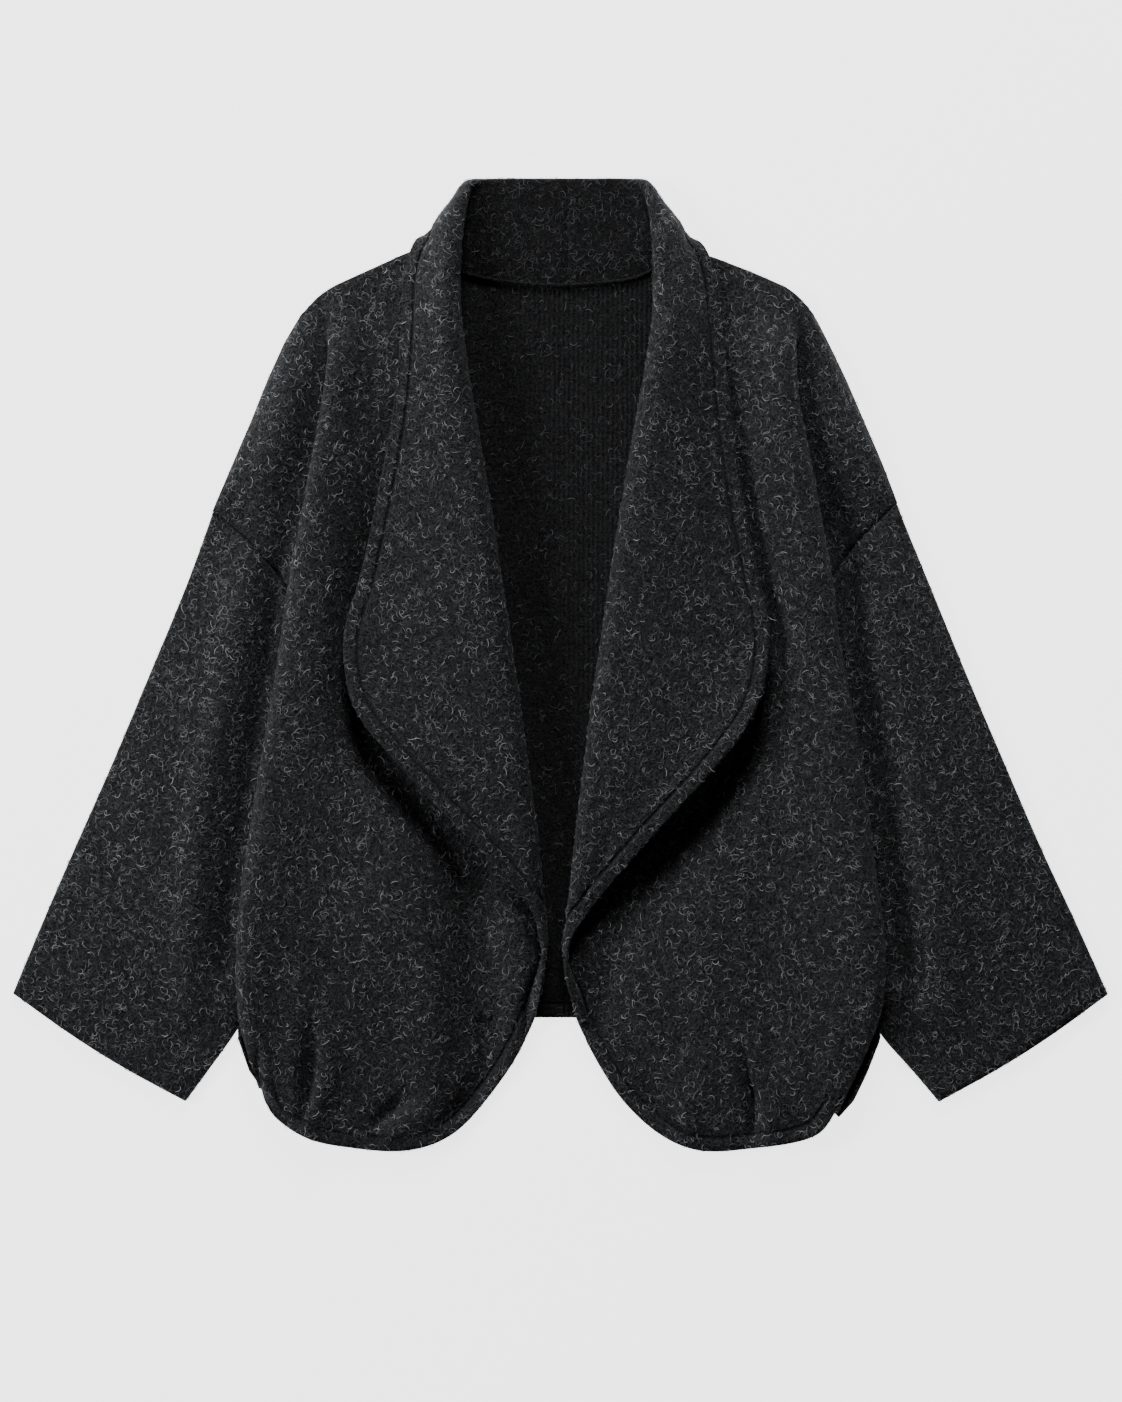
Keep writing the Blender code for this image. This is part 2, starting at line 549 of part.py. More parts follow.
def corner(plan, outward, rising):
    """Points round a pressed edge of a sleeve."""
    points = []
    for k in range(1, SLEEVE_CORNER + 1):
        a = math.pi * (k / (SLEEVE_CORNER + 1) - 0.5) * rising
        points.append(at_height(plan + outward * SLEEVE_FOLD * math.cos(a),
                                FLOOR_LAYER + SLEEVE_FOLD + SLEEVE_FOLD * math.sin(a)))
    return points


# ---- objects --------------------------------------------------------------------------------
def make_material(spec):
    material = bpy.data.materials.new(spec["name"])
    material.use_nodes = True
    shader = material.node_tree.nodes["Principled BSDF"]
    shader.inputs["Base Color"].default_value = (*spec["colour"], 1)
    shader.inputs["Roughness"].default_value = spec["roughness"]
    shader.inputs["Metallic"].default_value = 0.0
    return material


def to_world(side, p):
    """Millimetres from the centre line to metres in the world."""
    sign = -1 if side == "right" else 1
    return (sign * p[0] * MM, p[1] * MM, p[2] * MM)


def wall(name, side, rows, closed, material, collection):
    """Open surface through the rows, given the cloth's thickness by Solidify."""
    vertices = []
    index = []
    for row in rows:
        index.append([len(vertices) + k for k in range(len(row))])
        vertices += [to_world(side, p) for p in row]
    faces = []
    for upper, lower in zip(index, index[1:]):
        count = min(len(upper), len(lower))
        for k in range(count if closed else count - 1):
            after = (k + 1) % count
            face = (upper[k], upper[after], lower[after], lower[k])
            faces.append(face if side == "right" else face[::-1])
    mesh = bpy.data.meshes.new(name)
    mesh.from_pydata(vertices, [], faces)
    mesh.update()
    mesh.shade_smooth()
    mesh.materials.append(material)
    piece = bpy.data.objects.new(name, mesh)
    collection.objects.link(piece)
    thickness = piece.modifiers.new("cloth", "SOLIDIFY")
    thickness.thickness = WALL * MM
    thickness.offset = 0
    return piece


def make_front(side, material, collection):
    rows = front_sections(side)
    grid = collar_grid(side)
    for row, line in zip(rows, front_body(side, rows)):
        grid.append(lapel(row, line) + line + yoke(row, side_fold(row)))
    return wall(f"front_with_shawl_collar_{side}", side, grid, False, material, collection)


def make_sleeve(side, material, collection):
    seam = armhole(side)
    table = monotone(SLEEVES[side], SLEEVE_STEPS)
    keys = [dict(zip(SLEEVE_COLUMNS, key)) for key in table]
    rings = [sleeve_ring(side, seam, keys, index) for index in range(len(keys))]
    return wall(f"sleeve_{side}", side, rings, True, material, collection)


def neck_seam(side):
    """Points of the seam between back and collar, centre back first."""
    out, y = COLLAR_COLUMNS.index("neck_out"), COLLAR_COLUMNS.index("neck_y")
    return [(row[out], row[y]) for row in COLLARS[side]]


def back_outline():
    """Outline of the back panel: neck, shoulder, armhole, side and hem of each half."""
    halves = {}
    for side in ("right", "left"):
        neck = [(out, y - NECK_GAP) for out, y in neck_seam(side)]
        shoulder = list(SHOULDER[side])
        shoulder[0] = (shoulder[0][0], shoulder[0][1] - NECK_GAP)
        seams = [(row["seam_out"], row["seam_y"]) for row in front_sections(side)]
        halves[side] = neck[1:] + shoulder + seams[:-1] + list(BACK_HEM[side])
    centre = (0.0, neck_seam("left")[0][1] - NECK_GAP)
    right = [(-out, y) for out, y in halves["right"]]
    return [centre] + halves["left"] + right[::-1]


def make_back(material, collection):
    outline = bpy.data.curves.new("back", "CURVE")
    outline.dimensions = "2D"
    outline.fill_mode = "BOTH"
    outline.extrude = HALF * MM
    spline = outline.splines.new("POLY")
    points = back_outline()
    spline.points.add(len(points) - 1)
    for target, (x, y) in zip(spline.points, points):
        target.co = (x * MM, y * MM, 0, 1)
    spline.use_cyclic_u = True
    outline.materials.append(material)
    piece = bpy.data.objects.new("back", outline)
    piece.location = (0, 0, HALF * MM)
    collection.objects.link(piece)
    return piece


def make_neck_tape(material, collection):
    """Corded tape laid over the seam between the back and the collar."""
    cord = bpy.data.curves.new("back_neck_tape", "CURVE")
    cord.dimensions = "3D"
    cord.bevel_depth = NECK_TAPE_R * MM
    cord.bevel_resolution = 1
    cord.use_fill_caps = True
    right = [(-out, y) for out, y in neck_seam("right")[1:NECK_TAPE_SECTIONS]]
    left = neck_seam("left")[1:NECK_TAPE_SECTIONS]
    middle = [(0.0, neck_seam("left")[0][1])]
    z = WALL + SEAM_GAP + NECK_TAPE_R + NECK_TAPE_LIFT
    spline = cord.splines.new("POLY")
    points = right[::-1] + middle + left
    spline.points.add(len(points) - 1)
    for target, (x, y) in zip(spline.points, points):
        target.co = (x * MM, y * MM, z * MM, 1)
    cord.materials.append(material)
    piece = bpy.data.objects.new("back_neck_tape", cord)
    collection.objects.link(piece)
    return piece


def main():
    for old in list(bpy.data.objects):
        bpy.data.objects.remove(old)
    collection = bpy.data.collections.new("collared_cardigan")
    bpy.context.scene.collection.children.link(collection)
    cloth = make_material(CLOTH)
    make_back(cloth, collection)
    make_neck_tape(make_material(TAPE), collection)
    for side in ("right", "left"):
        make_front(side, cloth, collection)
        make_sleeve(side, cloth, collection)


main()
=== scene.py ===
"""Looks of the collared cardigan: felted wool laid flat on its back, both sleeves down.

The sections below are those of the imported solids, in millimetres. Each piece is worked out
again from them as a fine sheet of cloth, with its folds, turned edges and loose fibres.
"""
import math

import bpy
import numpy as np
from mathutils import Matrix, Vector
from mathutils.bvhtree import BVHTree


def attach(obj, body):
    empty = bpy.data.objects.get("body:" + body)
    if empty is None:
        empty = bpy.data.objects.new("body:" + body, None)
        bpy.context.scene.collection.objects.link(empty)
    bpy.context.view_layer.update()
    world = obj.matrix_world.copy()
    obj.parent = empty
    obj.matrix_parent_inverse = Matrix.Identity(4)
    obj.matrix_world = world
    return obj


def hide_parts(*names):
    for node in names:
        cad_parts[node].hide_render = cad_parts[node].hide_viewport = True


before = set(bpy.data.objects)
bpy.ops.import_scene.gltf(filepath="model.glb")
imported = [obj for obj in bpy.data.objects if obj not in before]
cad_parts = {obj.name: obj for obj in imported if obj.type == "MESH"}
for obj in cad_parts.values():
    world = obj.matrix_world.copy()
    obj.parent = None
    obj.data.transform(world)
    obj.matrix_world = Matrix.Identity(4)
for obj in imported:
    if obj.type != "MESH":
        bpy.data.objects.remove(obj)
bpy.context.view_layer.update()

MM = 0.001

# ---- cloth -------------------------------------------------------------------------
WALL = 2.5             # thickness of the boiled wool
HALF = WALL / 2
SEAM_GAP = 0.35        # free gap between two sewn pieces
FLOOR_LAYER = HALF     # middle height of a layer that lies on the surface
SEAM_LAYER = FLOOR_LAYER + WALL + SEAM_GAP          # a layer resting on the floor layer
SLEEVE_FOLD = 2.0      # radius of the pressed edges of a sleeve
UPPER_LAYER = FLOOR_LAYER + 2 * SLEEVE_FOLD         # upper layer of a sleeve
POCKET_FOLD = 2.4      # radius of the hidden fold under the side of the body

# ---- columns of one front, from the lapel's edge round to the armhole ----------------
FLAP = 6               # lapel, from its outer edge to the top of the roll
ROLL = 5               # round the roll
STAND = 3              # under the lapel, to the neck seam
BODY = 12              # front panel, from the neck point to the side fold
SIDE = 4               # round the side fold
POCKET = 3             # round the hidden fold
YOKE = 4               # out again to the shoulder, armhole or side seam
# Mesh rows from each section of the front to the next, closer where the shape turns.
FRONT_STEPS = (2, 2, 1, 1, 1, 1, 2, 2, 2, 2, 2, 2, 2, 1, 1, 2)

# Sections of each front, top to bottom. "_out" is the distance from the centre line.
SECTION_COLUMNS = ("roll_y", "roll_out", "lapel_out", "side_out", "side_y", "seam_out", "seam_y")
SECTIONS = {
    "right": (
        (297.0, 76.3, 120.5, 179.0, 290.8, 200.0, 267.6),
        (276.0, 76.2, 121.5, 179.0, 260.6, 212.1, 246.8),
        (245.2, 72.8, 122.8, 179.8, 233.7, 225.2, 217.5),
        (202.9, 66.6, 126.7, 184.4, 199.0, 237.5, 186.7),
        (156.7, 58.5, 134.4, 192.1, 156.7, 252.9, 151.3),
        (110.5, 51.2, 143.6, 200.6, 110.5, 267.6, 117.4),
        (64.3, 44.3, 153.6, 209.1, 64.3, 240.6, 95.1),
        (18.1, 37.3, 166.3, 216.0, 18.1, 208.3, 56.6),
        (-28.1, 30.8, 160.5, 222.9, -28.1, 189.0, 10.4),
        (-74.3, 24.6, 125.9, 230.6, -72.8, 175.9, -43.5),
        (-120.5, 18.1, 82.8, 237.5, -116.7, 165.9, -105.1),
        (-166.7, 13.5, 38.1, 243.7, -159.0, 164.0, -155.2),
        (-197.5, 10.0, 18.1, 247.6, -189.8, 175.0, -197.5),
        (-216.8, 9.2, 11.9, 249.1, -212.9, 196.7, -228.3),
        (-232.2, 11.6, 11.6, 249.9, -236.0, 216.0, -255.3),
        (-251.4, 14.6, 14.6, 249.1, -266.8, 235.2, -276.0),
        (-273.0, 21.2, 21.2, 232.8, -326.9, 229.8, -325.0),
    ),
    "left": (
        (297.0, 70.4, 119.5, 179.0, 289.6, 195.0, 267.6),
        (276.0, 70.1, 122.0, 182.1, 260.6, 205.6, 246.8),
        (245.2, 67.4, 125.1, 182.1, 233.7, 219.3, 218.3),
        (202.9, 60.1, 129.0, 184.4, 199.0, 232.6, 187.5),
        (156.7, 52.0, 135.1, 192.9, 156.7, 247.0, 154.4),
        (110.5, 44.3, 142.8, 201.4, 110.5, 259.1, 123.6),
        (64.3, 37.0, 152.1, 209.8, 64.3, 232.2, 97.4),
        (18.1, 30.4, 160.5, 215.2, 18.1, 201.4, 56.6),
        (-28.1, 23.5, 152.8, 223.7, -28.1, 184.4, 10.4),
        (-74.3, 17.7, 122.8, 231.4, -72.8, 172.9, -43.5),
        (-120.5, 12.3, 81.2, 237.5, -116.7, 165.2, -105.1),
        (-166.7, 7.3, 40.4, 242.9, -159.0, 163.5, -155.2),
        (-197.5, 3.5, 16.6, 247.6, -189.8, 175.0, -197.5),
        (-216.8, 1.5, 8.1, 249.9, -212.9, 194.4, -228.3),
        (-232.2, 2.3, 2.3, 250.6, -236.0, 213.7, -255.3),
        (-251.4, 6.5, 6.5, 247.6, -266.8, 232.9, -276.0),
        (-273.0, 13.5, 13.5, 214.0, -345.3, 212.0, -342.0),
    ),
}

# Heights and folds of the same sections, for both fronts.
#   under_z, mid_z  middle of the cloth beside the roll and halfway across the panel
#   roll_r, roll_deg  radius of the roll and how far the lapel is folded over
#   lift            air between the lapel's edge and the panel under it
#   flap            width of the turned edge where the lapel runs out
#   inset, inset_drop  from the edge of the roll in and down to where the panel starts
#   side_r, side_deg  radius of the side fold and how far it is folded under
#   under           width of the cloth that is folded under there
#   seam_z          middle of the cloth at the shoulder, armhole or side seam
#   arch            how far the cloth stands up between the side fold and that seam
#   skew, bow       how far the side fold follows the shoulder, and how round that is
HEIGHT_COLUMNS = ("under_z", "mid_z", "roll_r", "roll_deg", "lift", "flap", "inset", "inset_drop",
                  "side_r", "side_deg", "under", "seam_z", "arch", "skew", "bow")
HEIGHTS = (
    (5.6, 4.6, 11.0, 180, 2.4, 0, 11.0, 0, 20.0, 15, 3, 4.1, 0, 1, 2.5),
    (7.0, 8.0, 12.0, 180, 1.6, 0, 12.0, 0, 8.0, 50, 3, 4.1, 4, 0.4, 0.8),
    (9.0, 13.0, 12.5, 180, 0.6, 0, 12.5, 0, 6.5, 125, 3, 4.1, 8, 0, 0),
    (9.0, 15.0, 13.0, 180, 0.6, 0, 13.0, 0, 7.5, 180, 5, 4.1, 10, 0, 0),
    (9.0, 16.0, 13.0, 180, 0.8, 0, 13.0, 0, 8.5, 180, 15, 4.1, 9, 0, 0),
    (9.0, 16.0, 13.0, 180, 1.0, 0, 13.0, 0, 9.0, 180, 24, 5.25, 0, 0, 0),
    (9.0, 16.0, 13.0, 180, 1.5, 0, 13.0, 0, 9.5, 180, 33, 5.25, 0, 0, 0),
    (9.0, 16.0, 13.0, 180, 3.0, 0, 13.0, 0, 9.5, 180, 42, 5.25, 0, 0, 0),
    (9.0, 16.0, 12.5, 180, 8.0, 0, 12.5, 0, 9.5, 180, 50, 5.25, 0, 0, 0),
    (9.0, 16.0, 12.0, 180, 12.0, 0, 12.0, 0, 9.5, 180, 58, 5.25, 0, 0, 0),
    (8.5, 16.0, 10.5, 180, 12.0, 0, 10.5, 0, 9.5, 180, 67, 5.25, 0, 0, 0),
    (8.0, 16.0, 8.0, 180, 8.0, 0, 8.0, 0, 9.5, 180, 75, 4.7, 0, 0, 0),
    (7.0, 15.0, 4.5, 180, 5.0, 3.0, 4.5, 0, 9.5, 180, 76, 4.7, 0, 0, 0),
    (7.0, 14.0, 5.0, 130, 0, 4.0, 5.0, 0, 9.0, 180, 65, 4.7, 0, 0, 0),
    (7.0, 13.0, 6.5, 80, 0, 7.0, 7.6, 0, 8.5, 180, 52, 4.7, 0, 0, 0),
    (6.0, 12.0, 14.0, 45, 0, 4.5, 14.0, 5.0, 7.5, 180, 28, 4.7, 0, 0, 0),
    (5.0, 7.5, 25.0, 22, 0, 6.0, 7.5, 19.0, 3.0, 180, 11, 4.7, 0, 0, 0),
)

# Shoulder seam, neck point first, and hem, front edge first, as points (out, y).
SHOULDER = {
    "right": ((104.3, 317.6), (117.4, 316.1), (151.3, 300.7)),
    "left": ((99.7, 316.9), (115.9, 313.0), (147.0, 301.0)),
}
HEM = {
    "right": ((39.8, -312.6), (64.6, -345.0), (79.6, -360.0), (99.4, -371.0),
              (120.5, -375.8), (143.4, -374.9), (180.6, -369.7), (203.4, -362.0),
              (224.0, -345.8)),
    "left": ((32.0, -312.6), (48.4, -337.0), (65.2, -353.8), (84.0, -367.2),
             (100.6, -374.0), (117.0, -376.0), (136.0, -374.4), (159.5, -371.4),
             (184.0, -368.2), (202.0, -360.0)),
}

# Folds of the fronts that run up from the hem, each (column, height, reach): the reach is
# a share of the rows below HEM_FROM_SECTION.
FOLDS = {
    "right": ((2, -2.0, 0.9), (3, 2.5, 0.8), (6, -2.0, 0.5), (9, 4.5, 0.8), (10, -2.5, 0.7)),
    "left": ((2, -1.5, 0.9), (4, 3.0, 0.7), (7, -3.0, 0.7), (8, 2.5, 0.6), (10, -1.0, 0.5)),
}

# Sections of each half of the shawl collar, centre back first, as plan points.
COLLAR_COLUMNS = ("roll_out", "roll_y", "neck_out", "neck_y", "edge_out", "edge_y",
                  "wrap_out", "wrap_y")
COLLARS = {
    "right": (
        (-5.6, 373.8, -5.6, 290.7, -5.6, 307.6, -5.6, 373.8),
        (23.5, 373.8, 23.5, 292.2, 25.0, 307.6, 23.5, 373.8),
        (48.9, 373.8, 46.6, 294.5, 52.0, 309.2, 48.9, 373.8),
        (64.3, 366.8, 63.5, 297.6, 69.0, 312.2, 68.3, 373.6),
        (68.1, 364.6, 75.8, 301.5, 83.5, 316.1, 78.2, 367.1),
        (71.2, 351.5, 86.6, 306.8, 94.3, 321.5, 85.9, 354.6),
        (74.3, 332.3, 95.9, 312.2, 103.6, 326.1, 100.5, 336.9),
        (75.7, 316.0, 100.5, 314.9, 112.5, 325.0, 110.5, 327.6),
    ),
    "left": (
        (6.0, 373.8, 6.0, 290.7, 6.0, 307.6, 6.0, 373.8),
        (30.4, 373.8, 30.4, 293.0, 32.0, 307.6, 30.4, 373.8),
        (50.4, 373.8, 52.0, 295.3, 53.5, 309.2, 50.4, 373.8),
        (59.3, 366.8, 62.0, 298.4, 65.8, 312.2, 63.3, 373.6),
        (63.0, 363.1, 70.5, 303.0, 76.6, 316.1, 72.4, 367.2),
        (66.6, 350.0, 78.9, 307.6, 87.4, 320.7, 79.7, 355.4),
        (69.7, 330.7, 88.9, 312.2, 98.0, 324.6, 97.4, 334.6),
        (70.4, 315.5, 95.8, 314.6, 110.0, 322.5, 107.0, 326.5),
    ),
}
# Heights and folds of the same sections.
#   roll_top, roll_r  top of the fold and its radius
#   tilt            way the fold lies: 0 back and down, 90 upright, 180 over to the neck
#   neck_z          middle of the cloth at the neck seam
#   wrap_z, wrap_r  where the fall turns under at the outline; radius 0 where it lies on top
#   edge_z          middle of the cloth at the fall's edge
#   rest, bulge     share of the stand that lies on the fall, and how far it stands off
COLLAR_HEIGHT_COLUMNS = ("roll_top", "roll_r", "tilt", "neck_z", "wrap_z", "wrap_r", "edge_z",
                         "rest", "bulge")
COLLAR_HEIGHTS = (
    (5.1, 1.9, 0, 1.25, 1.25, 0, 1.25, 0.83, 0),
    (5.3, 2.0, 0, 1.25, 1.25, 0, 1.25, 0.83, 0),
    (5.9, 2.3, 0, 1.25, 1.25, 0, 1.25, 0.83, 0),
    (11.5, 2.6, 90, 1.25, 3.3, 2.0, 1.25, 0.83, 0),
    (15.0, 2.8, 115, 1.6, 3.6, 2.3, 1.3, 0.83, 0),
    (20.0, 5.0, 140, 2.5, 4.0, 2.5, 1.5, 0.83, 0),
    (25.0, 7.5, 165, 3.3, 5.0, 2.5, 2.5, 0.82, 0),
    (28.0, 8.5, 180, 4.6, 8.0, 0, 8.0, 0.90, 2.3),
)

# Sleeves: sections from armhole to cuff; "dome" is how far the upper layer arches up.
SLEEVE_COLUMNS = ("outer_out", "outer_y", "inner_out", "inner_y", "dome")
SLEEVES = {
    "right": (
        (267.6, 117.4, 165.9, -105.1, 0.0),
        (290.0, 57.0, 183.0, -140.0, 11.0),
        (317.0, -8.0, 200.0, -188.0, 15.0),
        (345.0, -75.0, 222.0, -236.0, 16.0),
        (375.4, -143.6, 248.3, -282.2, 12.0),
        (399.0, -198.0, 267.0, -308.5, 7.0),
        (422.3, -253.9, 288.2, -337.5, 1.5),
    ),
    "left": (
        (259.1, 123.6, 165.2, -105.1, 0.0),
        (284.5, 62.0, 182.0, -140.0, 11.0),
        (312.0, -5.0, 199.0, -188.0, 15.0),
        (341.5, -74.0, 220.0, -237.0, 16.0),
        (371.5, -143.6, 245.0, -284.5, 12.0),
        (397.0, -198.0, 268.0, -311.0, 7.0),
        (422.3, -254.5, 291.0, -338.0, 1.5),
    ),
}
ARMHOLE_FIRST = 5      # front sections between which the armhole seam lies
ARMHOLE_LAST = 10
SLEEVE_CORNER = 3      # mesh points round each pressed edge of a sleeve
SLEEVE_STEPS = (3, 2, 2, 2, 2, 2)  # mesh rings from each section to the next

# Lower edge of the back panel from its side seam to the straight hem, as (out, y).
BACK_HEM = {
    "right": ((245.5, -287.0), (247.0, -294.0), (239.0, -313.0), (229.8, -326.0),
              (200.0, -316.0), (165.0, -298.0), (125.0, -282.0), (85.0, -274.0),
              (45.0, -272.2)),
    "left": ((242.6, -284.0), (244.4, -289.0), (242.2, -296.1), (235.6, -314.5),
             (225.2, -336.1), (214.0, -348.5), (190.0, -322.0), (160.0, -298.0),
             (122.0, -281.0), (80.0, -274.0), (40.0, -272.2)),
}
NECK_TAPE_R = 1.5      # corded tape over the back neck seam
NECK_TAPE_SECTIONS = 5  # collar sections that it reaches on each side

# ---- how the tables are read ---------------------------------------------------------
NECK_SHARE = 0.2       # across a front, where the neck point falls
MID_SHARE = 0.65       # across a front, where "mid_z" is measured
STAND_SHARE = 0.45     # along the stand, where its first column lies
STAND_LIFT = 0.2       # play between the stand and the fall under it
FALL_STEP = 2.0        # columns of the fall next to its fold
HEM_FROM_SECTION = 10  # the section below which the rows bend to follow the hem
HEM_EASE = 1.6         # how late they do so
SHOULDER_ROWS = 5      # rows over which the slope of the shoulder dies out
FLAT_DEG = 12          # turn of the roll where the edge lies open at the hem
OPEN_DEG = 75          # below this the edge is drawn out to the front edge's line
FOLDED_DEG = 175       # above this the lapel lies folded over
FLAP_EASE = 0.5        # 0 a straight lapel, 1 one that lies flat at roll and edge
CREVICE = 1.5          # how far an arch stays clear of the side of the body
DOME_LEAN = 1.2        # above 1 the crown of a sleeve lies nearer the body
ARCH_POWER = 0.6       # below 1 an arch is flatter on top and steeper at its sides
CUFF_BOW = 3.6         # how far the middle of a cuff stands out past its corners
ARMHOLE_SHIFT = (0.455, -0.21)  # moves a sleeve off the armhole by the seam gap
NECK_GAP = 0.8         # between the back and the sloping stand, under the tape
NECK_TAPE_LIFT = 0.3   # play under the tape, where the stand begins to rise

# ---- finer form, in millimetres -------------------------------------------------------
FAR = 99.0             # stands for a distance that no detail reaches
RIM = 0.8              # rounding of a raw edge
BAND = 10.0            # width of the turned and stitched edge
BAND_END = BAND + 2.0  # where its thickness has died out, and over how much it does
BAND_FADE = 3.0
BAND_RISE = 0.25       # how much thicker the turned edge is, as a share of the cloth
BAND_GROOVE = 0.75     # how far its stitching draws the cloth in, as such a share
GROOVE_WIDTH = 1.6     # half width of that groove
HEM_BAND_ROW = 20      # row of the front below which the band runs round to the hem
STITCH = 3.2           # length of a stitch
SEAM_DIP = 2.0         # depth and half width of the groove along an armhole seam
SEAM_WIDTH = 2.6
ROW_SHARPEN = 0.9      # how far the curves down the cloth are drawn to their points
COLUMN_SHARPEN = 0.5   # the same for those across it
SHOULDER_FADE = 4      # rows over which the sleeve's folds begin below the shoulder

SLEEVE_FINE = 6        # fine steps from each column of a sleeve to the next
SLEEVE_EDGE_FINE = 2   # the same round its pressed edges
SLEEVE_TOP_FINE = (8, 6)  # fine steps along it beside the armhole
SLEEVE_DOWN_FINE = 4   # the same further down
SLEEVE_FLAT = 0.5      # how much of its arch the upper layer keeps from SLEEVE_FLAT_RING down
SLEEVE_FLAT_RING = 4
SLEEVE_SEAM_RING = 3   # ring down to which the groove of the armhole may reach

BACK_FINE = (120, 130)  # fine lines across and down
BACK_THINNER = 0.15    # taken off each face of the back, clear of what lies on it
BACK_LENGTH = 272.0    # how far below the middle of the frame the back reaches
BACK_EASE = 4.0        # how close to neck and hem the rows of the back bend
BACK_SEAM_END = -280.0  # below this height the back's side follows BACK_HEM
BACK_CORNER = {"right": 4, "left": 6}  # points of the back's hem that belong to its side
# How far the back's sides reach out under the fronts above the hem: distance down, reach.
BACK_OUT = {"right": ((250, 0), (265, 8), (276, 12), (287, 2.5), (294, -1.5), (305, 0)),
            "left": ((250, 0), (265, 6), (276, 9.5), (284, 3), (290, 1), (300, 0))}
BACK_LIFT = 12.0       # how far its rim stands up there, and how wide that is
BACK_LIFT_WIDTH = 5.5
BACK_LIFT_FROM = -275.0  # height below which it does, and over how much it begins
BACK_LIFT_FADE = 12.0
SHADED_INSIDE_OUT = 170.0     # out to here, from the centre line, the back is darker inside: partly its own colour, partly painted shade
SHADED_INSIDE_FADE = 20.0

TAPE_FINE = 40         # fine steps along the cord from each of its points to the next
TAPE_ROUND = 12        # points round it
TAPE_TWIST = 5.0       # pitch of its twist
TAPE_STRAND = 0.14     # depth of the furrows between its strands, as a share of its radius

